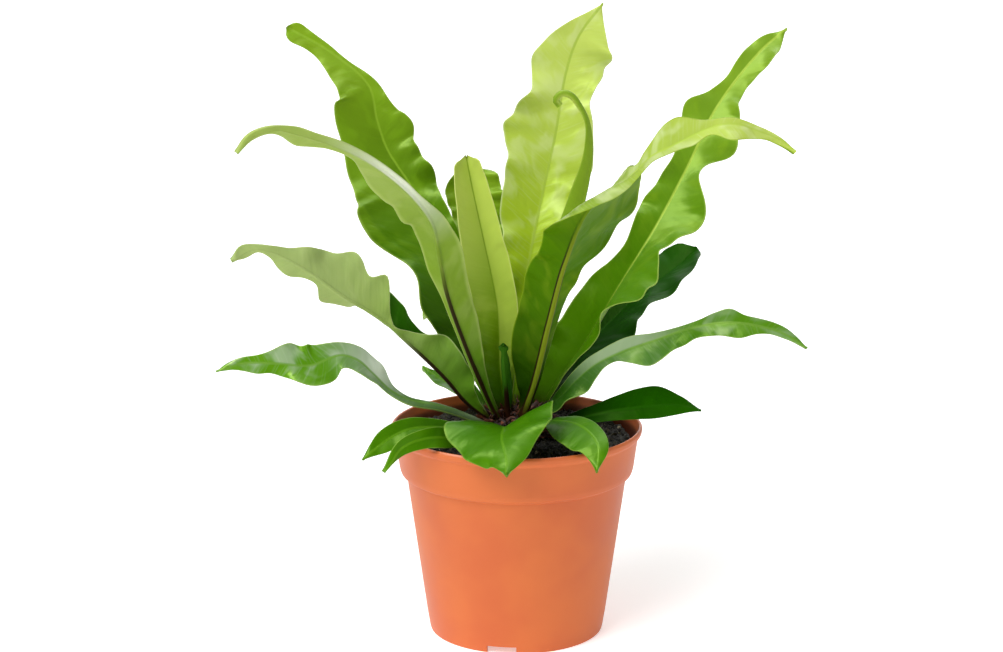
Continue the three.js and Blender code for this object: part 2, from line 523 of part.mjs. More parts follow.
// The crown is a scaly dome with one socket for each frond's stalk.
function makeCrown() {
  const shoulder = CROWN_BOTTOM + CROWN_SHOULDER;
  const profile = [[0, CROWN_BOTTOM], [CROWN_RADIUS - CROWN_FOOT_WIDTH, CROWN_BOTTOM],
    [CROWN_RADIUS, CROWN_BOTTOM + CROWN_FOOT_HEIGHT]];
  for (let i = 1; i <= CROWN_RINGS; i++) {
    const turn = (Math.PI / 2) * (i / CROWN_RINGS);
    const radius = i < CROWN_RINGS ? CROWN_RADIUS * Math.cos(turn) ** CROWN_DOME : 0;
    profile.push([radius, shoulder + (CROWN_TOP - shoulder) * Math.sin(turn)]);
  }
  let crown = solidOf(turned(profile, CROWN_SEGMENTS));
  for (const frond of FRONDS) {
    const socket = frondRings(frond, SOCKET_STEPS, SOCKET_GAP);
    crown = crown.subtract(solidOf(skinned(socket)));
  }
  return geometryOf(crown);
}

function named(name, geometry, look) {
  const mesh = new THREE.Mesh(geometry, new THREE.MeshStandardMaterial({ metalness: 0, ...PALETTE[look] }));
  mesh.name = name;
  return mesh;
}

const plant = new THREE.Group();
plant.add(named("pot", makePot(), "pot"));
plant.add(named("soil", makeSoil(), "soil"));
plant.add(named("crown", makeCrown(), "crown"));
for (const frond of FRONDS) plant.add(named(frond.name, makeFrond(frond), frond.tone));

export default plant;
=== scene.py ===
import json
import math

import bpy
import numpy as np
from bpy.props import FloatProperty, FloatVectorProperty, IntProperty, PointerProperty
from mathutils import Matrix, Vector


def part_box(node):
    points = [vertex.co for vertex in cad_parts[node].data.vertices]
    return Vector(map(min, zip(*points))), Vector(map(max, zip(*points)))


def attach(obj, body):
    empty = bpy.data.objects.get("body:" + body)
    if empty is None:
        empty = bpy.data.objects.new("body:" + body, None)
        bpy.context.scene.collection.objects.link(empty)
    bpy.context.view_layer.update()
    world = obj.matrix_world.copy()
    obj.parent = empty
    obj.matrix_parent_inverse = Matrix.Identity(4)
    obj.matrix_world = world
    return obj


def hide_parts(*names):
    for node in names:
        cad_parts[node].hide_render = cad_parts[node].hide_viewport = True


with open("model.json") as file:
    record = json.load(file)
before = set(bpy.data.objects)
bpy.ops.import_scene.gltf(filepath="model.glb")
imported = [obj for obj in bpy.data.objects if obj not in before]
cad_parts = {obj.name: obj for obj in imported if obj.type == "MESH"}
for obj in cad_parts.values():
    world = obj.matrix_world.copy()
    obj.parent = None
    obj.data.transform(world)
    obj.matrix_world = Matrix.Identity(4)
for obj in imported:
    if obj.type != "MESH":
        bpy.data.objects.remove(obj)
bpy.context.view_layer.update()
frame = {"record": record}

bl_info = {
    "name": "Bird's-nest fern in a nursery pot",
    "version": (1, 0, 0),
    "blender": (4, 5, 0),
    "location": "3D Viewport > Sidebar > Fern",
    "description": "Makes a bird's-nest fern, its crown and soil, and the moulded pot that it grows in",
    "category": "Add Mesh",
}

# The solids' box and the sizes that the pieces are worked out from
_, POT_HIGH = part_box("pot")
SOIL_LOW, SOIL_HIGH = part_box("soil")
CROWN_LOW, CROWN_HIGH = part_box("crown")
MM = 0.001
# The pot, in millimetres: the radii of its foot, of its shoulder under the collar and of the collar's step, the
# collar's height above the foot and the lip's depth
FOOT_RADIUS = 41.8
SHOULDER_RADIUS = 52.6
STEP_RADIUS = 55.4
COLLAR_HEIGHT = 77.3
LIP_DEPTH = 3.4
# Its wall above the step, for the shade painted inside it: its radius at the step's height and how fast it
# widens
STEP_HEIGHT = 80.7
WALL_RADIUS = 55.6
WALL_SLOPE = 0.14
# The painted shade on the inner wall above the soil: its colour and share, and the heights in metres that it
# fades between and that it starts between
INSIDE_SHADE = "#3A0D01"
INSIDE_SHADE_SHARE = 0.93
INSIDE_SHADE_FADE = (79.5 * MM, 98.5 * MM)
INSIDE_SHADE_START = (80.0 * MM, 82.5 * MM)
# The foot's notches: their size in metres and the radius of their ring
NOTCH_SIZE = (12 * MM, 14 * MM, 7 * MM)
NOTCH_RING = POT_HIGH[0] / MM * 0.68
# The soil's side against the wall, as radii and heights, its level by the wall and how far it is mounded
SOIL_WALL = [(38.0, SOIL_LOW[2] / MM), (39.0, 7.1), (50.9, 77.3), (SOIL_HIGH[0] / MM - 0.3, 80.9)]
SOIL_LEVEL = 94.0
SOIL_MOUND = 3.5
# The height of the crown's side and how its dome bends
CROWN_SIDE = 8.0
DOME = 0.6


def linear(hex_colour):
    """An sRGB colour such as "#D9733F", as linear red, green, blue and alpha."""
    parts = [int(hex_colour[i:i + 2], 16) / 255 for i in (1, 3, 5)]
    return tuple(c / 12.92 if c <= 0.04045 else ((c + 0.055) / 1.055) ** 2.4 for c in parts) + (1.0,)


def fill(tree, node, inputs):
    """Gives each of a node's inputs, by name or number, a value, a socket or another node's first output."""
    for key, value in inputs.items():
        if isinstance(value, bpy.types.Node):
            value = value.outputs[0]
        if isinstance(value, bpy.types.NodeSocket):
            tree.links.new(value, node.inputs[key])
        else:
            node.inputs[key].default_value = value
    return node


def add(tree, kind, inputs=None, **settings):
    """Adds a node to a tree with its settings and its inputs."""
    node = tree.nodes.new(kind)
    for key, value in settings.items():
        setattr(node, key, value)
    return fill(tree, node, inputs or {})


# Sizes and colours that a user may change

def colour_setting(name, description, hex_colour):
    """A colour that a user may change, in linear values."""
    return FloatVectorProperty(name=name, description=description, subtype="COLOR", size=4, min=0, max=1,
                               default=linear(hex_colour))


def length_setting(name, description, length):
    """A small length that a user may change."""
    return FloatProperty(name=name, description=description, default=length, unit="LENGTH", precision=4)


class FernPotSettings(bpy.types.PropertyGroup):
    """The moulded pot."""
    wall: length_setting("Wall", "Thickness of the moulded wall", 1.4 * MM)
    segments: IntProperty(name="Segments", description="Sides of the turned wall", default=192, min=24)
    drain_radius: length_setting("Drain hole", "Radius of a drain hole in the floor", 3.5 * MM)
    drain_ring: length_setting("Drain ring", "Radius of the ring of drain holes", 27 * MM)
    drains: IntProperty(name="Drain holes", description="Holes in the ring", default=6, min=1)
    notches: IntProperty(name="Notches", description="Openings in the foot", default=3, min=1)
    notch_turn: FloatProperty(name="Notch turn", description="Compass turn of the first notch",
                              default=math.radians(-100), subtype="ANGLE")
    plastic: colour_setting("Plastic", "Colour of the moulded plastic", "#CC6A34")
    plastic_deep: colour_setting("Plastic, deep", "Colour where the plastic is richest", "#C46030")


class FernSoilSettings(bpy.types.PropertyGroup):
    """The potting mix."""
    lump: length_setting("Lump height", "Height of the surface's lumps", 0.9 * MM)
    crumbs_per_area: FloatProperty(name="Crumbs", description="Crumbs on each square metre", default=420000.0)
    crumb: length_setting("Crumb", "Size of a middling crumb", 1.5 * MM)
    chips: IntProperty(name="Chips", description="Bark chips and fibres", default=260, min=0)
    peat: colour_setting("Peat", "Colour of damp peat", "#1A180C")
    fibre: colour_setting("Fibre", "Colour of dry fibres and bark", "#4C4428")


class FernCrownSettings(bpy.types.PropertyGroup):
    """The scaly crown."""
    scale_length: length_setting("Scale length", "Length of a papery scale", 7 * MM)
    scale_count: FloatProperty(name="Scales", description="Scales on each square metre", default=420000.0)
    scale_dark: colour_setting("Scale, dark", "Colour of an old scale", "#2A130B")
    scale_light: colour_setting("Scale, light", "Colour of a young scale", "#8A4A2C")


class FernFrondSettings(bpy.types.PropertyGroup):
    """The fronds."""
    row: length_setting("Row", "Spacing of the mesh along a frond", 1.5 * MM)
    columns: IntProperty(name="Columns", description="Columns of the mesh in each half of a blade", default=15)
    blade: length_setting("Blade", "Thickness of a blade beside its midrib", 0.6 * MM)
    rib_width: length_setting("Midrib", "Width of the midrib at the crown", 3.4 * MM)
    vein_spacing: length_setting("Vein spacing", "Spacing of the side veins", 1.3 * MM)
    vein_angle: FloatProperty(name="Vein angle", description="Angle between a side vein and the midrib",
                              default=math.radians(62), subtype="ANGLE")


class FernStageSettings(bpy.types.PropertyGroup):
    """The floor, the lights and the camera."""
    floor_size: FloatProperty(name="Floor", description="Side of the pale floor", default=12.0, unit="LENGTH")
    floor_colour: colour_setting("Floor colour", "Colour of the pale floor", "#FFFFFF")
    camera_place: FloatVectorProperty(name="Camera", description="Place of the camera",
                                      default=(-0.0072, -1.2, 0.4398), subtype="TRANSLATION")
    camera_pitch: FloatProperty(name="Pitch", description="How far the camera looks below the horizon",
                                default=math.radians(13.63), subtype="ANGLE")
    lens: FloatProperty(name="Lens", description="Focal length over a 36 mm sensor", default=93.8)


# The fronds, in millimetres
# Each has its look: its kind of leaf, the height of the fine ruffles along its left and right margins, and
# how closely they follow each other. It is described by its midrib, from the crown to the tip, and by its
# halves, left and right as seen on the upper face with the tip upwards. What both halves share is given once,
# outside them. A half's values are lists from base to tip: half is its width, fold the angle that it rises at
# beside the rib, and cup how much further it turns by its margin. The margin is thrown into waves, and
# scallop is the share by which they widen and narrow the half. facing is the compass turn of the upper face
# at the base, without which it faces the middle of the plant, and roll turns the blade about its rib.
FRONDS = [
    dict(name="left_tall", look=("mature", 0.6, 2.1, 1.3), facing=-65, roll=[0, -15],
         rib=[[-9, 5, 104], [-16, 11, 118], [-30, 29, 155], [-39, 43, 182], [-51, 54, 205], [-63, 60, 223],
              [-68, 63, 237], [-72, 67, 253], [-91, 73, 269], [-112, 77, 280.5]],
         fold=[30, 20, 15], phase=0.1,
         left=dict(half=[1.6, 5, 10, 21, 20, 30, 34, 31, 21, 20, 14, 6, 6], waves=4, height=2),
         right=dict(half=[1.6, 4, 7, 9, 10, 11, 12, 13, 16, 7, 2, 3, 5], waves=7, height=1.5)),
    dict(name="left_arching", look=("soft", 0.8, 1.2, 1), facing=85,
         rib=[[-8, -7, 104], [-14, -13, 118], [-25, -28, 149], [-32, -38, 173], [-36, -48, 197],
              [-39, -54, 210], [-51, -66, 228], [-72, -78, 245], [-96, -87, 255], [-106, -90, 257.5],
              [-115, -92, 254.5], [-121, -94, 248]],
         fold=[25, 20, 15], waves=3,
         left=dict(half=[1.6, 2.2, 3, 4.5, 6, 8, 10, 11, 11.5, 12, 11.5, 10, 7, 4.5, 3, 3, 3, 3.2, 3.2, 3.2, 3,
                  3.3, 2, 2, 1], height=1, phase=0.4),
         right=dict(half=[1.6, 1.8, 2, 2, 2, 2, 2, 2.3, 3, 5.5, 8, 9, 10, 11, 12, 13, 12.5, 8, 3, 3, 6, 6.5,
                   2.5, 2, 1], height=1.5, phase=0.1)),
    dict(name="left_ruffled", look=("dull", 1.6, 1.6, 1), roll=[0, 0, 0, 5, 10, 20, 30, 55, 80, 85, 80, 70,
         60],
         rib=[[-11, -1, 104], [-22, -5, 112], [-34, -10, 127], [-49, -18, 144], [-63, -26, 158.5],
              [-80, -33, 171], [-97, -39, 185], [-111, -44, 194], [-118, -46, 196], [-129, -49, 191]],
         height=1.5, scallop=0,
         left=dict(half=[2, 3, 5, 8, 11, 13, 15, 14, 12, 6, 3, 2.5, 8, 18.5, 14.5, 19, 20.5, 15, 12.5, 9.5, 5,
                  3, 2, 4, 2], fold=[40, 60, 50, 20, 10], waves=7, phase=0.25),
         right=dict(half=[2, 3, 5, 7, 8, 9, 10, 10, 9, 9, 10, 12, 14, 11, 7, 7, 8.5, 3, 3.5, 6.5, 6, 3, 2, 3,
                   0.5], fold=[60, 60, 60, 60, 75, 100, 90, 40, 10, 10, 10, 10, 10], waves=6, phase=0.3)),
    dict(name="left_low", look=("glossy", 2.4, 2.4, 1), roll=[0, -20, -50, -60],
         rib=[[-12, -7, 101], [-26, -17, 110], [-37, -25, 116], [-50, -33, 121], [-58, -38, 127],
              [-66, -43, 136.5], [-73, -46, 144], [-81, -49, 147], [-94, -53, 143.2], [-109, -56, 145],
              [-124, -58, 145.5], [-136, -59, 142]],
         fold=[30, 15, 5], scallop=0,
         left=dict(half=[2, 2.2, 2.2, 2.2, 2.2, 2.2, 2.2, 2.3, 2.4, 2.6, 2.8, 3.5, 5, 6.5, 6, 7, 10, 10, 8, 6,
                  4.5, 5, 3.5, 1.5, 0.5], waves=4, height=1.5, phase=0.3),
         right=dict(half=[2, 2.2, 2.2, 2.2, 2.2, 2.2, 2.2, 2.3, 2.4, 2.8, 3.5, 5.5, 6.5, 6.5, 6, 6, 8, 9.5, 9,
                   9.5, 6, 3.5, 2.8, 2, 0.5], waves=5, height=2, phase=0)),
    dict(name="left_short_upper", look=("low", 0.8, 0.8, 1), roll=[0, -30],
         rib=[[-11, -11, 99], [-26, -26, 105], [-39, -35, 109], [-50, -42, 110], [-58, -45, 107],
              [-66, -49, 102], [-71, -51, 98]],
         fold=[25, 10], waves=1, height=0.5,
         left=dict(half=[1.8, 2, 2.5, 3, 5, 5, 0.5], phase=0),
         right=dict(half=[1.8, 2.5, 3.5, 4, 5, 5, 0.5], phase=0.4)),
    dict(name="left_short_lower", look=("low", 0.8, 0.8, 1), roll=[0, -50],
         rib=[[-7, -13, 98], [-21, -29, 101.5], [-33, -40, 105.5], [-43, -49, 107.5], [-53, -56, 105],
              [-61, -60, 95]],
         half=[1.8, 3, 4, 5, 4.5, 3.5, 0.5], fold=[20, 10], waves=1, height=0.5,
         left=dict(phase=0.5),
         right=dict(phase=0.1)),
    dict(name="front", look=("low", 1.4, 1.4, 1),
         rib=[[-2, -13, 98], [-4, -28, 106], [-6, -44, 111], [-7, -60, 110], [-5, -72, 105], [-5, -79, 99]],
         cup=[0, -20, -40], waves=1.5, height=2,
         left=dict(half=[2, 4, 20, 24, 20, 12, 0.8], fold=[15, 31, 24, 10, 0], phase=0.2),
         right=dict(half=[2, 4, 19, 27, 22, 13, 0.8], fold=[20, 34, 9, 2, 0], phase=0.5)),
    dict(name="front_right", look=("low", 0.6, 0.6, 1), roll=[0, 30, 45, 45, 30],
         rib=[[5, -12, 98], [14, -20, 107], [22, -29, 110], [28, -38, 111], [33, -47, 110], [37, -57, 106],
              [36, -65, 96.5]],
         fold=[15, 0], cup=[0, -20], waves=1, height=0.8,
         left=dict(half=[1.8, 3.5, 5, 6, 6, 4.5, 0.5], phase=0),
         right=dict(half=[1.8, 4.5, 9, 12.5, 13, 10, 0.5], phase=0.5)),
    dict(name="right_smooth", look=("deep", 0.3, 0.3, 1), roll=[0, 40, 50],
         rib=[[12, -7, 99], [26, -14, 106], [44, -18, 112], [62, -20, 115], [76, -22, 116], [86, -24, 114]],
         fold=[20, 5], waves=1, height=0.5,
         left=dict(half=[1.8, 2.5, 4, 5, 7, 9, 9, 4, 0.5], phase=0),
         right=dict(half=[1.8, 2.5, 4, 4.5, 5, 5.5, 5.5, 4, 0.5], phase=0.3)),
    dict(name="right_low", look=("satin", 1.6, 1.2, 1), roll=[20, 60, 50, 45, 45],
         rib=[[9, -4, 104], [21, -13, 118], [35, -20, 134], [49, -26, 143], [63, -30, 149], [82, -36, 157],
              [99, -40, 160], [119, -43, 156.5], [132, -44, 149]],
         fold=[30, 15, 10], height=1.5, scallop=0,
         left=dict(half=[1.8, 2, 2.5, 3, 3.5, 4, 4.3, 4.5, 4.7, 5.2, 5.5, 5, 3.8, 3, 2.5, 2.5, 3.3, 5, 6.5, 4,
                  3.5, 3.5, 3, 2, 0.5], waves=5, phase=0.4),
         right=dict(half=[1.8, 4, 6, 8, 9, 9, 8, 6, 3.5, 3.5, 7, 10, 12, 11.5, 8, 6, 6, 6.5, 7.5, 7.5, 4.5,
                   2.5, 2, 1, 0.5], waves=5.5, phase=0.25)),
    dict(name="right_dark", look=("deep", 1.0, 1.0, 1), facing=-120, roll=[20, 20, 10, 0, 0],
         rib=[[7, 7, 104], [12, 17, 110], [19, 26, 116], [27, 36, 122], [37, 46, 130], [47, 54, 138],
              [58, 61, 147], [70, 67, 155], [82, 72, 163], [90, 76, 170]],
         fold=[30, 15], waves=3, height=1.5,
         left=dict(half=[1.8, 3, 5, 7, 9, 11, 12, 13, 12, 12, 13, 14, 9], phase=0.1),
         right=dict(half=[1.8, 4, 9, 14, 17.5, 20, 21.5, 22.5, 23.5, 24, 24.5, 24.5, 24, 23, 22, 21, 20.5, 20,
                   20, 19.5, 19, 18.5, 17, 13, 8], phase=0.5)),
    dict(name="right_tall", look=("bright", 1.5, 1.9, 1.1), facing=-118,
         rib=[[8, 1, 104], [17, 3, 118], [33, 10, 139], [50, 20, 165], [68, 32, 192], [83, 44, 218],
              [97, 56, 244], [119, 68, 270], [132, 74, 280]],
         left=dict(half=[1.8, 6, 10, 13.5, 15.5, 16.5, 17, 15, 12, 9, 9, 11, 12, 10, 9, 9, 10, 12, 13, 7, 5, 6,
                  6, 4, 0.5], fold=[30, 20, 10], waves=5, height=2.5, phase=0.2),
         right=dict(half=[1.8, 3, 5, 8, 14, 24, 21, 14, 20, 17, 8, 17, 16, 8, 7, 9, 0.5], fold=[50, 60, 20, 10,
                   10], waves=6, height=3.5, phase=0.7)),
    dict(name="right_arching", look=("ribbed", 1.2, 1.6, 1), facing=100, roll=[0, 0, 0, 0, 0, 5, 10, 25, 75,
         110, 115, 105, 100],
         rib=[[2, -9, 104], [8, -18, 125], [15, -34, 160], [22, -51, 192], [32, -67, 219], [50, -81, 236],
              [58, -86, 245], [66, -90, 250], [83, -94, 259], [92, -95, 260.5], [102, -94, 257.5],
              [111, -94, 253.5], [118.5, -94, 248]],
         fold=[35, 30, 20], height=2,
         left=dict(half=[1.8, 1.9, 2.2, 3, 4, 5, 5.5, 6.5, 8, 12, 25, 36, 41, 42, 37, 14, 4, 4, 8, 10, 4, 3,
                  2.5, 2, 0.5], waves=3, phase=0.8),
         right=dict(half=[1.8, 4.5, 8, 12, 15, 16.5, 17, 17.3, 17, 14.5, 12, 12.2, 13, 12.5, 11, 9, 4.5, 3.5,
                   3.5, 6, 4, 9, 5.5, 2.5, 0.5], cup=[0, 0, 0, 0, 0, 0, -80, -140, -80, 0, 0, 0, 0], waves=4,
                   phase=0.3)),
    dict(name="centre_tall", look=("young", 2.2, 2.0, 1), facing=-90,
         rib=[[-1, 4, 105], [1, 14, 141], [6, 28, 174], [13, 43, 206], [19, 53, 232], [24, 62, 260],
              [30, 66, 277], [42, 70, 293]],
         fold=[30, 15, 10, 5], height=2,
         left=dict(half=[1.6, 4, 6, 9, 12, 16, 19, 22, 24, 17, 17, 8, 0.5], waves=5, phase=0.6),
         right=dict(half=[1.6, 4, 6, 9, 13, 16, 18, 21, 18, 15, 19, 15, 0.5], waves=4, phase=0.3)),
    dict(name="centre_curled", look=("rolled", 0.2, 0.2, 1), facing=180,
         rib=[[3, -2, 105], [7, 1, 127], [13, 3, 153], [21, 5, 176], [31, 7, 206], [35, 7, 232], [33, 6, 245],
              [29, 5, 253], [25, 4, 258], [21, 4, 259], [18, 4, 256], [20, 5, 253]],
         half=[1.6, 4, 7, 9, 10, 10, 9.5, 8, 5, 3, 2, 1], fold=[40], cup=[60, 110, 60, 0], waves=1, height=0,
         phase=0),
    dict(name="centre_folded", look=("folded", 0.3, 0.3, 1), facing=-80,
         rib=[[-5, -3, 105], [-8, -7, 128], [-8.5, -9, 147], [-9.5, -10, 162], [-12, -10.5, 176],
              [-15, -10.5, 190], [-18, -10, 204], [-21, -9, 218], [-23.5, -7, 231]],
         waves=1, height=0, phase=0,
         left=dict(half=[2, 6, 10, 13, 15, 16, 16, 15, 14, 12, 10], fold=[30, 38], cup=[0, 0, 0, 0, 0, 10,
                  20]),
         right=dict(half=[2, 5, 8, 10, 11, 12, 12, 11, 10, 9, 8], fold=[30, 45], cup=[0, 0, 0, 0, 0, 0, 20])),
    dict(name="centre_spear", look=("deep", 0.2, 0.2, 1),
         rib=[[-4, -9, 104], [-5, -17, 122], [-6, -22, 134], [-6.5, -25, 146]],
         half=[2, 5, 6.5, 6, 2], fold=[40], cup=[50, 80], waves=1, height=0, phase=0),
    dict(name="back_dark", look=("mature", 2.8, 3.4, 2.2), facing=-80,
         rib=[[-5, 9, 104], [-7, 20, 118], [-9, 32, 131], [-13, 48, 151], [-17, 62, 171], [-20, 73, 193],
              [-22, 80, 210]],
         fold=[30, 15, 10], waves=4, height=2,
         left=dict(half=[1.8, 3, 6, 8, 9, 11, 12, 12, 13, 13, 14, 14, 9], phase=0.2),
         right=dict(half=[1.8, 3, 6, 8, 9, 11, 12, 12, 13, 13, 13, 14, 12], phase=0.6)),
    dict(name="back_left_low", look=("low", 0.6, 0.6, 1),
         rib=[[-11, 7, 101], [-21, 17, 108], [-33, 31, 112], [-46, 47, 116]],
         fold=[20, 10], waves=1, height=0.8,
         left=dict(half=[1.8, 4, 6, 5, 0.5], phase=0),
         right=dict(half=[1.8, 5, 8, 7, 0.5], phase=0.5)),
    dict(name="back_left", look=("mature", 1.8, 1.8, 1),
         rib=[[-8, 11, 102], [-17, 26, 121], [-26, 47, 134], [-35, 70, 138], [-43, 93, 131]],
         half=[1.8, 5, 9, 12, 12, 9, 0.5], fold=[30, 15, 10], waves=4, height=3,
         left=dict(phase=0.7),
         right=dict(phase=0.2)),
    dict(name="back_middle", look=("mature", 1.8, 1.8, 1),
         rib=[[-2, 13, 102], [-4, 31, 118], [-6, 54, 130], [-8, 77, 134], [-9, 98, 125]],
         half=[1.8, 5, 8, 11, 11, 8, 0.5], fold=[30, 15, 10], waves=4, height=3,
         left=dict(phase=0.9),
         right=dict(phase=0.4)),
    dict(name="back_right", look=("mature", 1.8, 1.8, 1),
         rib=[[4, 13, 103], [6, 30, 112], [11, 53, 120], [17, 75, 123], [22, 98, 116]],
         half=[1.8, 5, 9, 13, 13, 9, 0.5], fold=[30, 15, 10], waves=4, height=3,
         left=dict(phase=0.3),
         right=dict(phase=0.8)),
    dict(name="back_low", look=("mature", 0.6, 0.6, 1),
         rib=[[3, 13, 98], [7, 32, 106], [11, 50, 107], [14, 67, 101], [16, 78, 91]],
         half=[1.8, 4, 8, 9, 8, 5, 0.5], fold=[20, 10, 0], waves=1, height=0.8,
         left=dict(phase=0.4),
         right=dict(phase=0)),
]
# Half widths at which a frond is all stalk and at which its blade is open, and its least one at the tip
STALK_HALF = 1.6
BLADE_START = 4.0
TIP_HALF = 0.5
# The share of the length from which the tip is rounded, and the share by which waves widen a half
TIP_ROUND = 0.97
SCALLOP = 0.06
# The mesh's columns on the midrib, in its half widths
RIB_COLUMNS = np.array([0.0, 0.3, 0.6, 0.85, 1.0, 1.3])
# How far the midrib stands out under the blade by the crown, and above it
RIB_DEPTH = 1.5
RIDGE_HEIGHT = 0.28
# The least cup, in radians, and how fast waves and ruffles grow towards the margin
LEAST_TURN = 1e-6
WAVE_RISE = 1.6
RUFFLE_RISE = 1.5
# The fine ruffles: the lengths over which they repeat, the shares of their height and of their widening of a
# half, that widening and its most, and the length over which they swell and fade
RUFFLE_LENGTHS = np.array([31.0, 19.0, 12.5])
RUFFLE_SHARES = (0.7, 0.9, 0.5)
LOBE_SHARES = (0.3, 0.5, 0.3)
LOBE_DEPTH = 0.045
LOBE_MOST = 2.2
BEAT_LENGTH = 83.0
# The puckers between the veins: their height, the length over which they repeat and the lengths that vary it
PUCKER_HEIGHT = 0.16
PUCKER_LENGTH = 6.1
PUCKER_DRIFTS = (17.0, 9.7)

# Colours of each kind of leaf: by the crown, on the blade, towards the tip, where light soaks it and where a
# sheen is painted, underneath, on the margin, on the midrib above and on the midrib underneath
LEAVES = {
    # The deep kind's dark greens, for fronds deep among the others, are partly their own and partly painted
    # shade
    "deep": ("#061E00", "#103E00", "#1A5000", "#225C00", "#2C5E0C", "#3C6A18", "#1E5404", "#24130A"),
    "low": ("#0C3000", "#366C00", "#427800", "#548A08", "#4C7618", "#7A9C38", "#5C9014", "#24130A"),
    "mature": ("#0E3200", "#427000", "#76981A", "#7AA41C", "#5E8420", "#98B04C", "#84A82C", "#24130A"),
    # The glossy kind's grey colour by the crown is a sheen painted on its stalk
    "glossy": ("#5C7050", "#3C7400", "#548A08", "#C4CCBC", "#5C8030", "#98B058", "#649030", "#24130A"),
    "satin": ("#1E4A04", "#346E00", "#4E820C", "#9CB08C", "#5C8030", "#98B058", "#649030", "#24130A"),
    "bright": ("#4A7C00", "#4C7E00", "#749824", "#7CA01C", "#6E9030", "#9CB454", "#A0BA40", "#24130A"),
    "ribbed": ("#0A2C00", "#5A8400", "#B0C454", "#D8E2B0", "#426C00", "#86A020", "#A8C04A", "#74841C"),
    "dull": ("#4A7E00", "#245C04", "#346A0C", "#447616", "#869E4C", "#B0C080", "#7C9C3C", "#24130A"),
    "soft": ("#4A7A10", "#7E9E1C", "#98B23C", "#E8ECDC", "#74922A", "#A8B868", "#90A848", "#24130A"),
    "folded": ("#3E6E00", "#6C9000", "#BCCE5C", "#B0C450", "#86A420", "#D0DA80", "#6E9010", "#5E8A10"),
    "rolled": ("#588404", "#8CAA14", "#A8BC4C", "#CCD898", "#6C9014", "#8CA834", "#8CA834", "#5E8A10"),
    "young": ("#588404", "#98B418", "#B6C85C", "#CCD898", "#7C9C24", "#C4D094", "#98B040", "#5E8A10"),
}
# Half the width in millimetres of the dark stripe under the midrib, and the share of the length where it ends
RIB_SHADE_HALF = {"ribbed": 1.9}
RIB_SHADE_END = {"soft": 0.36, "dull": 0.34}
RIB_SHADE = "#24130A"
OLD_STALK = "#3A1D10"
# How far up the underside the crown's deep green reaches
CROWN_REACH = {"dull": 0.6}
# How strongly a kind of leaf reflects
GLOSS = {"deep": 0.03, "ribbed": 0.1, "glossy": 0.4, "satin": 0.3}
# The painted sheen: a pale highlight, and a lit side, painted on the waxy blades where they catch the light.
# Its shares on the left and right halves, and the shares of the length that it starts and ends at
PAINTED_SHEEN = {"folded": (0.0, 0.5, 0.1, 1.2), "glossy": (0.3, 0.8, 0.3, 0.7),
         "satin": (0.8, 0.1, 0.15, 0.66), "soft": (0.8, 0.0, 0.45, 0.84)}
NO_PAINTED_SHEEN = (0.0, 0.0, 0.1, 1.0)
# Where the pale margin starts, as a share of the half width. On the soft kind it starts further in, as a
# highlight painted along the margin over its own pale edge
MARGIN_AND_SHEEN_START = {"soft": 0.8}


# Pieces

def settle(piece, slot, *nodes):
    """Fixes a finished piece to the plant's one body, in place of the solids that it stands for."""
    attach(piece, "root")
    if nodes:
        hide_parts(*nodes)
    return piece


def mesh_piece(name, vertices, faces, material=None):
    """A smooth-shaded mesh object at the origin."""
    mesh = bpy.data.meshes.new(name)
    mesh.from_pydata([tuple(v) for v in vertices], [], faces)
    mesh.shade_smooth()
    if material:
        mesh.materials.append(material)
    piece = bpy.data.objects.new(name, mesh)
    bpy.context.scene.collection.objects.link(piece)
    return piece


def ring(radius, height, sides):
    """Points round the pot's axis. Their height is a number or a function of x and y."""
    turns = np.linspace(0, 2 * math.pi, sides, endpoint=False)
    places = [(radius * math.cos(a), radius * math.sin(a)) for a in turns]
    return [(x, y, height(x, y) if callable(height) else height) for x, y in places]


def skin(rings, sides, closed=True):
    """The faces between rings of points that are listed upwards, and those that close both ends."""
    last = (rings - 1) * sides
    faces = [(i + j, i + k, i + sides + k, i + sides + j) for i in range(0, last, sides)
             for j, k in zip(range(sides), [*range(1, sides), 0])]
    if closed:
        faces += [tuple(reversed(range(sides))), tuple(range(last, last + sides))]
    return faces


def point_attribute(mesh, name, values):
    """Keeps a vector for each point of a mesh, which its material reads."""
    layer = mesh.attributes.new(name, "FLOAT_VECTOR", "POINT")
    layer.data.foreach_set("vector", np.asarray(values, np.float32).ravel())


def grown(name, base, tree, values):
    """The result of a node tree on a base object as a plain mesh piece, with the base removed."""
    modifier = base.modifiers.new(name, "NODES")
    modifier.node_group = tree
    for item in tree.interface.items_tree:
        if item.in_out == "INPUT" and item.name in values:
            modifier[item.identifier] = values[item.name]
    graph = bpy.context.evaluated_depsgraph_get()
    mesh = bpy.data.meshes.new_from_object(base.evaluated_get(graph), depsgraph=graph)
    base.modifiers.clear()
    bpy.data.objects.remove(base)
    mesh.name = name
    piece = bpy.data.objects.new(name, mesh)
    bpy.context.scene.collection.objects.link(piece)
    return piece


def node_tree(name, sizes):
    """An empty geometry tree with a mesh in, a mesh out and the named sizes, and its two end nodes."""
    tree = bpy.data.node_groups.new(name, "GeometryNodeTree")
    tree.interface.new_socket("Geometry", in_out="INPUT", socket_type="NodeSocketGeometry")
    for size, kind in sizes.items():
        tree.interface.new_socket(size, in_out="INPUT", socket_type=kind)
    tree.interface.new_socket("Geometry", in_out="OUTPUT", socket_type="NodeSocketGeometry")
    return tree, add(tree, "NodeGroupInput"), add(tree, "NodeGroupOutput")


def end_tree(tree, end, result, material):
    """Ends a geometry tree: its instances are made real and take a material."""
    real = add(tree, "GeometryNodeRealizeInstances", {0: result})
    fill(tree, end, {0: add(tree, "GeometryNodeSetMaterial", {"Geometry": real, "Material": material})})
    return tree


def surface(name):
    """A new material with its tree and its principled shader."""
    material = bpy.data.materials.new(name)
    material.use_nodes = True
    tree = material.node_tree
    return material, tree, tree.nodes["Principled BSDF"]


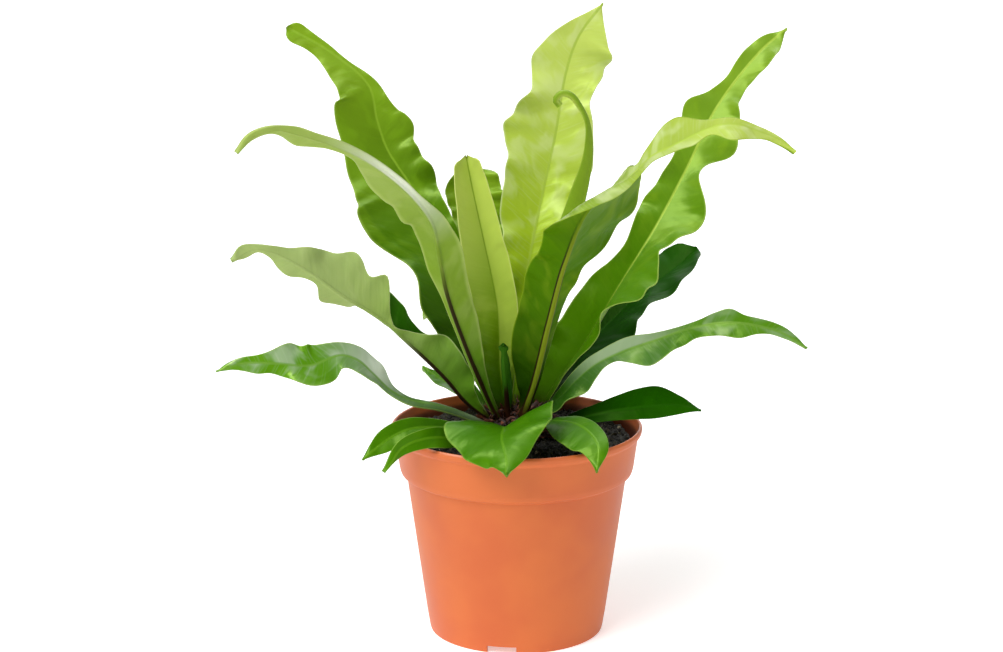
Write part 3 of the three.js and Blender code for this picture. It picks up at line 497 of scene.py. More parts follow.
def layered(tree, colour, *layers):
    """Lays colours over one another and gives the result. A layer is a colour and the factors of its share: a
    number, a node, a socket, or one of these with its range and what that is eased to, 0 to 1 if not given."""
    for over, *factors in layers:
        share = None
        for factor in factors:
            if isinstance(factor, tuple):
                factor = add(tree, "ShaderNodeMapRange", dict(enumerate(factor)),
                             interpolation_type="SMOOTHSTEP")
            if share is not None:
                factor = add(tree, "ShaderNodeMath", {0: share, 1: factor}, operation="MULTIPLY")
            share = factor
        colour = add(tree, "ShaderNodeMix", {0: share, 6: colour, 7: over}, data_type="RGBA").outputs[2]
    return colour


# The pot

def moulded_plastic(settings):
    """Injection-moulded polypropylene: satin, faintly mottled by its flow, with the mould's fine grain, and
    with shade painted on the inner wall above the soil.
    """
    material, tree, shader = surface("Injection-moulded polypropylene")
    place = add(tree, "ShaderNodeTexCoord").outputs["Object"]
    flow = add(tree, "ShaderNodeTexNoise", {"Vector": place, "Scale": 1 / (45 * MM), "Detail": 3.0})
    grain = add(tree, "ShaderNodeTexNoise", {"Vector": place, "Scale": 1 / (0.9 * MM), "Detail": 2.0})
    # Inside, the wall above the soil is painted darker as shade under the rim and the leaves. The wall's radius
    # grows with height, and depth is how far a point lies outside it
    x, y, z = add(tree, "ShaderNodeSeparateXYZ", {0: place}).outputs
    level = add(tree, "ShaderNodeCombineXYZ", {0: x, 1: y})
    radius = add(tree, "ShaderNodeVectorMath", {0: level}, operation="LENGTH").outputs["Value"]
    above = add(tree, "ShaderNodeMath", {0: z, 1: STEP_HEIGHT * MM}, operation="SUBTRACT")
    wall = add(tree, "ShaderNodeMath", {0: above, 1: WALL_SLOPE, 2: WALL_RADIUS * MM}, operation="MULTIPLY_ADD")
    depth = add(tree, "ShaderNodeMath", {0: radius, 1: wall}, operation="SUBTRACT")
    colour = layered(tree, tuple(settings.plastic_deep),
                     (tuple(settings.plastic), (flow, 0.35, 0.65)),
                     # painted shade on the inner wall above the soil
                     (linear(INSIDE_SHADE), (depth, -0.9 * MM, -0.5 * MM, 1, 0), (z, *INSIDE_SHADE_FADE, 1, 0.88),
                      (z, *INSIDE_SHADE_START), INSIDE_SHADE_SHARE))
    rough = add(tree, "ShaderNodeMapRange", {0: flow, 1: 0.3, 2: 0.7, 3: 0.42, 4: 0.52},
                interpolation_type="SMOOTHSTEP")
    bump = add(tree, "ShaderNodeBump", {"Strength": 0.12, "Distance": 0.1 * MM, "Height": grain})
    fill(tree, shader, {"Base Color": colour, "Roughness": rough, "IOR": 1.49, "Specular IOR Level": 0.3,
                        "Normal": bump})
    return material


def rounded(points, radii, steps=5):
    """An open outline of [radius, height] points with its corners rounded by arcs."""
    outline = [np.array(points[0], float)]
    for before, corner, after, radius in zip(points, points[1:], points[2:], radii):
        before, corner, after = (np.array(p, float) for p in (before, corner, after))
        inward, outward = before - corner, after - corner
        if not radius:
            outline.append(corner)
            continue
        reach = min(radius, 0.45 * np.linalg.norm(inward), 0.45 * np.linalg.norm(outward))
        start = corner + inward / np.linalg.norm(inward) * reach
        end = corner + outward / np.linalg.norm(outward) * reach
        for k in range(steps + 1):
            s = k / steps
            outline.append((1 - s) ** 2 * start + 2 * s * (1 - s) * corner + s ** 2 * end)
    outline.append(np.array(points[-1], float))
    return outline


def pot_outline(wall):
    """The pot's closed cross-section in millimetres, from the middle of its floor out and round to it again."""
    rim = POT_HIGH[0] / MM
    top = POT_HIGH[2] / MM
    thick = wall / MM
    lip = top - LIP_DEPTH
    foot, shoulder, step, collar = FOOT_RADIUS, SHOULDER_RADIUS, STEP_RADIUS, COLLAR_HEIGHT
    # Each corner's radius, its height and how far it is rounded
    corners = [
        (0.01, 4.0, 0), (foot - 2.3, 4.0, 1.0), (foot - 2.0, 0.0, 0.4), (foot - 0.4, 0.0, 0.4),
        (foot, 1.4, 1.2),
        *[(foot + (shoulder - foot) * k / 8, collar * k / 8, 0.0) for k in range(1, 8)],
        (shoulder, collar, 0.6), (step - 0.3, collar + 1.0, 0.7), (step + 0.5, collar + 3.4, 1.4),
        (rim - 2.0, lip - 1.4, 0.7), (rim - 0.4, lip, 0.7), (rim, top - 1.2, 0.9), (rim - 0.9, top, 0.7),
        (rim - 1.7, top - 0.4, 0.5), (rim - 2.2 - thick * 0.7, lip - 2.0, 1.4),
        (step + 0.5 - thick, collar + 3.6, 1.2), (shoulder - thick, collar, 0.8),
        (foot - thick - 0.4, 8.0, 1.6), (foot - thick - 2.2, 5.6, 0.8), (0.01, 5.6, 0),
    ]
    return rounded([c[:2] for c in corners], [c[2] for c in corners[1:-1]])


def pot_tree(material):
    """Turns the outline about the pot's axis, and cuts the drain holes and the notches out of it."""
    tree, start, end = node_tree("Turned and cut pot", {
        "Segments": "NodeSocketInt", "Drain radius": "NodeSocketFloat", "Drain ring": "NodeSocketFloat",
        "Drains": "NodeSocketInt", "Notches": "NodeSocketInt", "Notch turn": "NodeSocketFloat",
        "Foot": "NodeSocketFloat"})
    given = start.outputs
    outline = add(tree, "GeometryNodeMeshToCurve", {"Mesh": given["Geometry"]})
    circle = add(tree, "GeometryNodeCurvePrimitiveCircle", {"Resolution": given["Segments"], "Radius": 1.0})
    turned = add(tree, "GeometryNodeCurveToMesh", {"Curve": circle, "Profile Curve": outline})
    outward = add(tree, "GeometryNodeFlipFaces", {"Mesh": turned})
    welded = add(tree, "GeometryNodeMergeByDistance", {"Geometry": outward, "Distance": 0.03 * MM})

    drain = add(tree, "GeometryNodeMeshCylinder", {"Vertices": 32, "Radius": given["Drain radius"],
                                                   "Depth": 20 * MM})
    circle = add(tree, "GeometryNodeMeshCircle", {"Vertices": given["Drains"], "Radius": given["Drain ring"]})
    drains = add(tree, "GeometryNodeInstanceOnPoints", {"Points": circle, "Instance": drain})

    notch = add(tree, "GeometryNodeMeshCube", {"Size": NOTCH_SIZE})
    foot = add(tree, "GeometryNodeMeshCircle", {"Vertices": given["Notches"], "Radius": given["Foot"]})
    index = add(tree, "GeometryNodeInputIndex")
    step = add(tree, "ShaderNodeMath", {0: 2 * math.pi, 1: given["Notches"]}, operation="DIVIDE")
    turn = add(tree, "ShaderNodeMath", {0: index, 1: step}, operation="MULTIPLY")
    facing = add(tree, "ShaderNodeCombineXYZ", {"Z": turn})
    notches = add(tree, "GeometryNodeInstanceOnPoints", {"Points": foot, "Instance": notch,
                                                         "Rotation": facing})
    whole_turn = add(tree, "ShaderNodeCombineXYZ", {"Z": given["Notch turn"]})
    turned_notches = add(tree, "GeometryNodeTransform", {"Geometry": notches, "Rotation": whole_turn})
    cutters = add(tree, "GeometryNodeJoinGeometry")
    for cutter in (drains, turned_notches, drain):
        tree.links.new(cutter.outputs[0], cutters.inputs[0])
    solid_cutters = add(tree, "GeometryNodeRealizeInstances", {0: cutters})
    cut = add(tree, "GeometryNodeMeshBoolean", {"Mesh 1": welded, "Mesh 2": solid_cutters},
              operation="DIFFERENCE", solver="EXACT")
    return end_tree(tree, end, cut, material)


class FERN_OT_pot(bpy.types.Operator):
    """Make the moulded nursery pot"""
    bl_idname = "fern.pot"
    bl_label = "Pot"

    def execute(self, context):
        settings = context.scene.fern_pot
        outline = pot_outline(settings.wall)
        # The outline is swept round a circle of one metre, so it is drawn from there, with its height down
        vertices = [(r * MM - 1.0, -z * MM, 0.0) for r, z in outline]
        edges = [(i, i + 1) for i in range(len(vertices) - 1)]
        mesh = bpy.data.meshes.new("Pot outline")
        mesh.from_pydata(vertices, edges, [])
        base = bpy.data.objects.new("Pot outline", mesh)
        context.scene.collection.objects.link(base)
        pot = grown("moulded_pot", base, pot_tree(moulded_plastic(settings)), {
            "Segments": settings.segments, "Drain radius": settings.drain_radius,
            "Drain ring": settings.drain_ring, "Drains": settings.drains, "Notches": settings.notches,
            "Notch turn": settings.notch_turn, "Foot": NOTCH_RING * MM})
        pot.data.shade_smooth()
        pot.data.set_sharp_from_angle(angle=math.radians(35))
        settle(pot, "pot", "pot")
        return {"FINISHED"}


# The soil

def soil_height(x, y, lump):
    """The height of the soil's lumpy surface, mounded towards the crown."""
    x, y = x / MM, y / MM
    lumps = np.sin(0.37 * x + 1.3) * np.cos(0.31 * y) + np.sin(0.23 * (x + y)) * np.cos(0.51 * (x - y))
    fine = np.sin(1.1 * x + 0.7 * y) * np.cos(0.9 * y - 0.8 * x + 2.0) + np.sin(1.9 * x - 0.4) * np.sin(1.7 * y)
    mound = SOIL_MOUND * (1 - np.hypot(x, y) / SHOULDER_RADIUS)
    return (SOIL_LEVEL + mound) * MM + lump * (lumps + 0.35 * fine)


def potting_mix(settings):
    """Damp peat with coarse fibres: matt and nearly black, with dry brown flecks and a few pale ones."""
    material, tree, shader = surface("Damp peat potting mix")
    place = add(tree, "ShaderNodeTexCoord").outputs["Object"]
    crumb = add(tree, "ShaderNodeAttribute", attribute_name="crumb_tone").outputs["Fac"]
    fleck = add(tree, "ShaderNodeTexNoise", {"Vector": place, "Scale": 1 / (1.2 * MM), "Detail": 4.0})
    fine = add(tree, "ShaderNodeTexNoise", {"Vector": place, "Scale": 1 / (0.35 * MM), "Detail": 3.0})
    flecks, crumbs = (add(tree, "ShaderNodeMapRange", dict(enumerate(values)), interpolation_type="SMOOTHSTEP")
                      for values in ((fleck, 0.58, 0.75), (crumb, 0.72, 1, 0, 0.85)))
    dry = add(tree, "ShaderNodeMath", {0: flecks, 1: crumbs}, operation="MAXIMUM")
    colour = layered(tree, tuple(settings.peat), (tuple(settings.fibre), dry),
                     (linear("#A89B82"), (crumb, 0.985, 0.99)))
    bump = add(tree, "ShaderNodeBump", {"Strength": 0.8, "Distance": 0.5 * MM, "Height": fine})
    fill(tree, shader, {"Base Color": colour, "Roughness": 0.93, "Specular IOR Level": 0.25, "Normal": bump})
    return material


def soil_body(settings):
    """The soil that fills the pot, open in the middle where the crown stands."""
    outer = SOIL_HIGH[0]
    hole = CROWN_HIGH[0] + 0.3 * MM
    sides = 120
    # Up the pot's wall, in over the surface and down the hole
    rings = [ring(r * MM, z * MM, sides) for r, z in SOIL_WALL]
    for radius in np.linspace(outer, hole, 24):
        rings.append(ring(radius, lambda x, y: soil_height(x, y, settings.lump), sides))
    rings.append(ring(hole, CROWN_LOW[2] - 0.3 * MM, sides))
    return sum(rings, []), skin(len(rings), sides)


def crumb_shape(name, stretch, seed):
    """A small angular lump of potting mix, one unit across."""
    draw = np.random.default_rng(seed)
    golden = (1 + 5 ** 0.5) / 2
    pairs = [(-1, golden), (1, golden), (-1, -golden), (1, -golden)]
    corners = [*((a, b, 0) for a, b in pairs), *((0, a, b) for a, b in pairs), *((b, 0, a) for a, b in pairs)]
    faces = [(0, 11, 5), (0, 5, 1), (0, 1, 7), (0, 7, 10), (0, 10, 11), (1, 5, 9), (5, 11, 4), (11, 10, 2),
             (10, 7, 6), (7, 1, 8), (3, 9, 4), (3, 4, 2), (3, 2, 6), (3, 6, 8), (3, 8, 9), (4, 9, 5),
             (2, 4, 11), (6, 2, 10), (8, 6, 7), (9, 8, 1)]
    points = np.array(corners, float)
    points /= np.linalg.norm(points, axis=1)[:, None] * 2
    points *= draw.uniform(0.7, 1.2, (len(points), 1))
    points *= np.array(stretch)
    ball = bpy.data.meshes.new(name)
    ball.from_pydata([tuple(p) for p in points], [], faces)
    return ball


def scatter_tree(name, shapes, material, attribute, seed):
    """Stands shapes on a surface at random, each with its own size, turn and tone, as one plain mesh."""
    tree, start, end = node_tree(name, {
        "Density": "NodeSocketFloat", "Least size": "NodeSocketFloat", "Most size": "NodeSocketFloat",
        "Spread": "NodeSocketFloat", "Seed": "NodeSocketInt"})
    given = start.outputs
    points = add(tree, "GeometryNodeDistributePointsOnFaces", {
        "Mesh": given["Geometry"], "Density": given["Density"], "Seed": given["Seed"]})
    choice = add(tree, "GeometryNodeCollectionInfo", {"Collection": shapes, "Separate Children": True,
                                                      "Reset Children": True})
    size = add(tree, "FunctionNodeRandomValue", {2: given["Least size"], 3: given["Most size"], "Seed": seed},
               data_type="FLOAT")
    spin = add(tree, "FunctionNodeRandomValue", {1: (2 * math.pi,) * 3, "Seed": seed + 1},
               data_type="FLOAT_VECTOR")
    loose = add(tree, "ShaderNodeVectorMath", {0: spin, "Scale": given["Spread"]}, operation="SCALE")
    as_turn = add(tree, "FunctionNodeEulerToRotation", {0: loose})
    own = add(tree, "FunctionNodeRotateRotation", {0: points.outputs["Rotation"], 1: as_turn},
              rotation_space="LOCAL")
    tone = add(tree, "FunctionNodeRandomValue", {"Seed": seed + 2}, data_type="FLOAT")
    stood = add(tree, "GeometryNodeInstanceOnPoints", {
        "Points": points.outputs["Points"], "Instance": choice, "Pick Instance": True,
        "Rotation": own, "Scale": size.outputs[1]})
    toned = add(tree, "GeometryNodeStoreNamedAttribute", {
        "Geometry": stood, "Name": attribute, "Value": tone.outputs[1]},
        data_type="FLOAT", domain="INSTANCE")
    return end_tree(tree, end, toned, material)


def shape_collection(name, make, *shapes):
    """A collection of shapes to be picked from, each made from its own values. It isn't in the scene."""
    collection = bpy.data.collections.new(f"{name} shapes")
    for number, shape in enumerate(shapes):
        mesh = make(f"{name} {number}", *shape)
        collection.objects.link(bpy.data.objects.new(mesh.name, mesh))
    return collection


def surface_patch(name, inner, outer, height, rings=12, sides=96):
    """A ring-shaped patch that things are scattered on, facing up."""
    vertices = sum((ring(r, height, sides) for r in np.linspace(inner, outer, rings)), [])
    return mesh_piece(name, vertices, [(a, d, c, b) for a, b, c, d in skin(rings, sides, closed=False)])


class FERN_OT_soil(bpy.types.Operator):
    """Make the potting mix with its crumbs, fibres and bark"""
    bl_idname = "fern.soil"
    bl_label = "Soil"

    def execute(self, context):
        settings = context.scene.fern_soil
        material = potting_mix(settings)
        settle(mesh_piece("potting_mix", *soil_body(settings), material), "soil", "soil")
        inner, outer = CROWN_HIGH[0] - 1 * MM, SOIL_HIGH[0] - 1.2 * MM
        area = math.pi * (outer ** 2 - inner ** 2)
        crumbs = shape_collection("Crumb", crumb_shape, ((1, 1, 0.8), 0), ((1.3, 0.8, 0.6), 1),
                                  ((0.9, 1.1, 1.0), 2), ((1.6, 0.6, 0.5), 3))
        chips = shape_collection("Chip", crumb_shape, ((1, 0.45, 0.18), 20), ((1, 0.2, 0.12), 21),
                                 ((1, 0.08, 0.07), 22), ((0.8, 0.6, 0.25), 23))
        for name, shapes, reach, density, least, most, spread, seeds in (
                ("soil_crumbs", crumbs, outer, settings.crumbs_per_area, settings.crumb * 0.5,
                 settings.crumb * 1.8, 1.0, (11, 3)),
                ("soil_chips", chips, outer - 2 * MM, settings.chips / area, 3 * MM, 8 * MM, 0.12, (31, 8))):
            patch = surface_patch(f"{name} bed", inner, reach, lambda x, y: soil_height(x, y, settings.lump))
            tree = scatter_tree(f"Scattered {name}", shapes, material, "crumb_tone", seeds[0])
            settle(grown(name, patch, tree, {"Density": density, "Least size": least, "Most size": most,
                                             "Spread": spread, "Seed": seeds[1]}), "soil")
        return {"FINISHED"}


# The crown

def papery_scale(settings):
    """Dry fern scales: thin, papery, red-brown, darker where they are old."""
    material, tree, shader = surface("Papery fern scales")
    place = add(tree, "ShaderNodeTexCoord").outputs["Object"]
    tone = add(tree, "ShaderNodeAttribute", attribute_name="scale_tone").outputs["Fac"]
    streak = add(tree, "ShaderNodeTexNoise", {"Vector": place, "Scale": 1 / (1.5 * MM), "Detail": 3.0})
    colour = layered(tree, tuple(settings.scale_dark),
                     (tuple(settings.scale_light), (tone, 0.1, 1.0), streak, 1.5))
    bump = add(tree, "ShaderNodeBump", {"Strength": 0.5, "Distance": 0.3 * MM, "Height": streak})
    fill(tree, shader, {"Base Color": colour, "Roughness": 0.7, "Specular IOR Level": 0.3, "Normal": bump})
    return material


def crown_height(r):
    """The height of the crown's domed top at a radius."""
    share = np.clip(r / CROWN_HIGH[0], 0, 1)
    side = CROWN_LOW[2] + CROWN_SIDE * MM
    return side + (CROWN_HIGH[2] - side) * np.sin(np.arccos(share ** (1 / DOME)))


def crown_body():
    """The crown's domed body."""
    sides = 72
    radius = CROWN_HIGH[0]
    outline = [(radius - 1.5 * MM, CROWN_LOW[2]), (radius, CROWN_LOW[2] + 3 * MM)]
    for turn in np.linspace(0.02, math.pi / 2 - 0.06, 22):
        reach = radius * math.cos(turn) ** DOME
        outline.append((reach, float(crown_height(reach))))
    return sum((ring(r, z, sides) for r, z in outline), []), skin(len(outline), sides)


def scale_shape(name, bend):
    """One narrow pointed scale, one unit long, rising and bending outwards."""
    widths = [0.10, 0.15, 0.13, 0.08, 0.01]
    vertices = []
    for i, width in enumerate(widths):
        s = i / (len(widths) - 1)
        x, z = bend * s * s, s * (1 - 0.3 * abs(bend) * s)
        vertices += [(x, -width, z), (x + 0.03, 0.0, z), (x, width, z), (x - 0.03, 0.0, z)]
    mesh = bpy.data.meshes.new(name)
    mesh.from_pydata(vertices, [], skin(len(widths), 4))
    return mesh


class FERN_OT_crown(bpy.types.Operator):
    """Make the crown and its papery scales"""
    bl_idname = "fern.crown"
    bl_label = "Crown"

    def execute(self, context):
        settings = context.scene.fern_crown
        material = papery_scale(settings)
        settle(mesh_piece("crown_body", *crown_body(), material), "crown", "crown")
        bed = surface_patch("Scale bed", 1 * MM, CROWN_HIGH[0] - 0.3 * MM,
                            lambda x, y: float(crown_height(math.hypot(x, y))), 16, 48)
        shapes = shape_collection("Scale", scale_shape, (0.15,), (0.35,), (0.6,), (-0.2,))
        tree = scatter_tree("Scattered scales", shapes, material, "scale_tone", 51)
        settle(grown("crown_scales", bed, tree, {
            "Density": settings.scale_count, "Least size": settings.scale_length * 0.5,
            "Most size": settings.scale_length * 1.1, "Spread": 0.09, "Seed": 5}), "crown")
        return {"FINISHED"}


# The fronds

def along(values, t):
    """Values listed evenly from base to tip, read at shares t of the length on a smooth curve through them."""
    values = np.asarray(values, float)
    last = len(values) - 1
    place = np.asarray(t, float) * last
    i = np.minimum(np.floor(place).astype(int), max(last - 1, 0))
    a, b, c, d = (values[np.clip(i + k, 0, last)] for k in (-1, 0, 1, 2))
    s = place - i
    return b + 0.5 * s * (c - a + s * (2 * a - 5 * b + 4 * c - d + s * (3 * (b - c) + d - a)))


def smoothstep(value, low, high):
    """0 below low, 1 above high and smooth between."""
    share = np.clip((value - low) / (high - low), 0, 1)
    return share * share * (3 - 2 * share)


def rib_curve(points, steps=60):
    """A centripetal curve through a midrib's points, finely stepped."""
    points = np.array(points, float)
    ends = np.vstack([2 * points[0] - points[1], points, 2 * points[-1] - points[-2]])
    curve = []
    for k in range(len(points) - 1):
        p0, p1, p2, p3 = ends[k:k + 4]
        d0, d1, d2 = (np.linalg.norm(b - a) ** 0.5 for a, b in ((p0, p1), (p1, p2), (p2, p3)))
        leave = ((p1 - p0) / d0 - (p2 - p0) / (d0 + d1) + (p2 - p1) / d1) * d1
        arrive = ((p2 - p1) / d1 - (p3 - p1) / (d1 + d2) + (p3 - p2) / d2) * d1
        u = np.linspace(0, 1, steps, endpoint=k == len(points) - 2)[:, None]
        curve.append(p1 + leave * u + (3 * (p2 - p1) - 2 * leave - arrive) * u ** 2
                     + (2 * (p1 - p2) + leave + arrive) * u ** 3)
    return np.vstack(curve)


def spine_of(frond, spacing):
    """Along a midrib, in rows: the shares of its length, places, upper faces' directions, sides and length."""
    curve = rib_curve(frond["rib"])
    gone = np.concatenate([[0], np.cumsum(np.linalg.norm(np.diff(curve, axis=0), axis=1))])
    t = np.linspace(0, 1, max(24, int(gone[-1] / spacing)) + 1)

    def at(share):
        return np.stack([np.interp(share * gone[-1], gone, curve[:, k]) for k in range(3)], -1)

    ahead = at(np.minimum(t + 0.002, 1)) - at(np.maximum(t - 0.002, 0))
    ahead /= np.linalg.norm(ahead, axis=1)[:, None]
    if "facing" in frond:
        turn = math.radians(frond["facing"])
        face = np.array([math.cos(turn), math.sin(turn), 0])
    else:
        face = curve[0] - curve[-1]
        face[2] = 0
    up = []
    for direction, share in zip(ahead, t):
        face = face - direction * face.dot(direction)
        face /= np.linalg.norm(face)
        roll = math.radians(along(frond.get("roll", [0]), share))
        up.append(face * math.cos(roll) + np.cross(direction, face) * math.sin(roll))
    return t, at(t), np.array(up), np.cross(ahead, up), gone[-1]


def half_width(part, t):
    """The half width of one half of a frond, widened and narrowed by the waves of its margin."""
    tip = np.sqrt(1 - np.clip((t - TIP_ROUND) / (1 - TIP_ROUND), 0, 1) ** 2)
    plain = np.maximum(along(part["half"], t) * tip, TIP_HALF)
    waves = np.cos(2 * math.pi * (part["waves"] * t + part["phase"]))
    return plain * (1 + part.get("scallop", SCALLOP) * smoothstep(plain, STALK_HALF, BLADE_START) * waves)


def half_blade(part, t, reach, width, sign, spine, ruffles):
    """One half of a blade, as a grid of points in the middle of its thickness."""
    place, up, side = spine
    opened = smoothstep(width, STALK_HALF, BLADE_START)
    start = np.radians(along(part["fold"], t)) * opened
    turn = np.radians(along(part.get("cup", [0]), t)) * opened
    turn = np.where(np.abs(turn) < LEAST_TURN, LEAST_TURN, turn)
    end = start + turn * reach
    across = width * (np.sin(end) - np.sin(start)) / turn
    lift = width * (np.cos(start) - np.cos(end)) / turn
    wave = part["height"] * smoothstep(width, BLADE_START, 3 * BLADE_START) * reach ** WAVE_RISE
    wave = wave * np.sin(2 * math.pi * (part["waves"] * t + part["phase"]))
    wave = wave + ruffles * smoothstep(width, 2, 10) * reach ** RUFFLE_RISE
    return (place + side * (sign * (across - wave * np.sin(end)))[..., None]
            + up * (lift + wave * np.cos(end))[..., None])


def column_distances(width, columns, rib_half):
    """Distances from the midrib of a half's columns: close together on the rib and by the margin."""
    on_rib = RIB_COLUMNS * rib_half * np.minimum(1, width / (3 * rib_half))
    inner = on_rib[:, -1:]
    margin = width - np.minimum(0.35, 0.12 * width)
    blade = np.linspace(0, 1, columns - len(RIB_COLUMNS) + 2)[1:]
    return np.hstack([on_rib, inner + (margin - inner) * blade, width])


def both_halves(left, right):
    """The two halves' columns side by side, with the one on the midrib kept once."""
    return np.concatenate([left[:, :0:-1], right], axis=1)


def frond_grid(frond, settings, seed):
    """The two faces of a frond as grids of points in millimetres, with each point's place on the leaf."""
    t, place, up, side, length = spine_of(frond, settings.row / MM)
    t, rib_half = t[:, None], (settings.rib_width / MM / 2) * (1 - 0.75 * t[:, None])
    spine = [a[:, None, :] for a in (place, up, side)]
    draw = np.random.default_rng(seed)
    _, *heights, crimp = frond["look"]
    parts = [{**frond, **frond.get(half, {})} for half in ("left", "right")]
    halves = []
    for sign, part, ruffle in zip((-1, 1), parts, heights):
        counts = crimp * length / RUFFLE_LENGTHS * draw.uniform(0.9, 1.1, 3)
        turns = draw.uniform(0, 2 * math.pi, 3)
        beat = 0.65 + 0.35 * np.sin(2 * math.pi * (length / BEAT_LENGTH * t + draw.uniform()))
        width = half_width(part, t)
        broad = smoothstep(width, STALK_HALF, 3 * BLADE_START)
        lobes = sum(size * np.cos(2 * math.pi * count * t + turn)
                    for size, count, turn in zip(LOBE_SHARES, counts, turns))
        width = width * (1 + LOBE_DEPTH * min(ruffle, LOBE_MOST) * beat * broad * lobes)
        far = column_distances(width, settings.columns, rib_half)
        reach = far / width
        ruffles = ruffle * beat * sum(
            size * np.sin(2 * math.pi * count * t + turn + 0.8 * reach)
            for size, count, turn in zip(RUFFLE_SHARES, counts, turns))
        halves.append((half_blade(part, t, reach, width, sign, spine, ruffles), sign * far, sign * reach))
    middle, distance, share = (both_halves(left, right) for left, right in zip(*halves))
    out = np.cross(np.gradient(middle, axis=1), np.gradient(middle, axis=0))
    out /= np.maximum(np.linalg.norm(out, axis=2), 1e-9)[..., None]

    width = np.maximum(*(half_width(part, t) for part in parts))
    flat = smoothstep(width, STALK_HALF, BLADE_START)
    round_half = STALK_HALF * np.sqrt(np.maximum(1 - 0.96 * share ** 2, 0))
    blade_half = settings.blade / MM / 2 * (1 - 0.3 * share ** 2)
    on_rib = 0.5 + 0.5 * np.cos(math.pi * np.clip(np.abs(distance) / (1.3 * rib_half), 0, 1))
    keel = RIB_DEPTH * (1 - t) * on_rib
    ridge = RIDGE_HEIGHT * (1 - 0.6 * t) * np.exp(-(distance / (0.5 * rib_half)) ** 2)
    slant = t * length - np.abs(distance) / math.tan(settings.vein_angle)
    slow, slower = (np.sin(slant / drift + seed) for drift in PUCKER_DRIFTS)
    pucker = PUCKER_HEIGHT * np.sin(2 * math.pi * slant / PUCKER_LENGTH + 1.5 * slow) * slower
    pucker = pucker * smoothstep(np.abs(distance), 1.5, 6) * smoothstep(1 - np.abs(share), 0, 0.15)
    top = middle + out * ((1 - flat) * round_half + flat * (blade_half + ridge) + pucker)[..., None]
    bottom = middle - out * ((1 - flat) * round_half + flat * (blade_half + keel) - pucker)[..., None]
    on_leaf = np.stack(np.broadcast_arrays(distance, t * length, np.ones_like(distance)), -1)
    in_share = np.stack(np.broadcast_arrays(share, t, np.full_like(share, seed)), -1)
    return top, bottom, on_leaf, in_share


def frond_piece(frond, settings, material, seed):
    """One frond as a closed mesh, with a rounded margin and its place on the leaf kept for the material."""
    top, bottom, on_leaf, in_share = frond_grid(frond, settings, seed)
    rows, columns = top.shape[:2]
    middle = (top + bottom) / 2
    left, right = (middle[:, j] + (middle[:, j] - middle[:, k]) * 0.3 for j, k in ((0, 1), (-1, -2)))
    rings = np.concatenate([top, right[:, None], bottom[:, ::-1], left[:, None]], axis=1)
    size = rings.shape[1]
    under, half = on_leaf * [1, 1, 0], on_leaf * [1, 1, 0.5]
    places = np.concatenate([on_leaf, half[:, -1:], under[:, ::-1], half[:, :1]], axis=1)
    shares = np.concatenate([in_share, in_share[:, -1:], in_share[:, ::-1], in_share[:, :1]], axis=1)
    faces = skin(rows, size, closed=False)
    for start, turned in ((0, True), (rows * size - size, False)):
        cap = [(start + j, start + j + 1, start + 2 * columns - 1 - j, start + 2 * columns - j)
               for j in range(columns - 1)]
        cap.append((start + columns - 1, start + columns, start + columns + 1))
        cap.append((start, start + 2 * columns, start + 2 * columns + 1))
        faces += cap if turned else [tuple(reversed(f)) for f in cap]
    piece = mesh_piece(frond["name"] + "_frond", rings.reshape(-1, 3) * MM, faces, material)
    point_attribute(piece.data, "leaf_place", places.reshape(-1, 3))
    point_attribute(piece.data, "leaf_share", shares.reshape(-1, 3))
    return piece


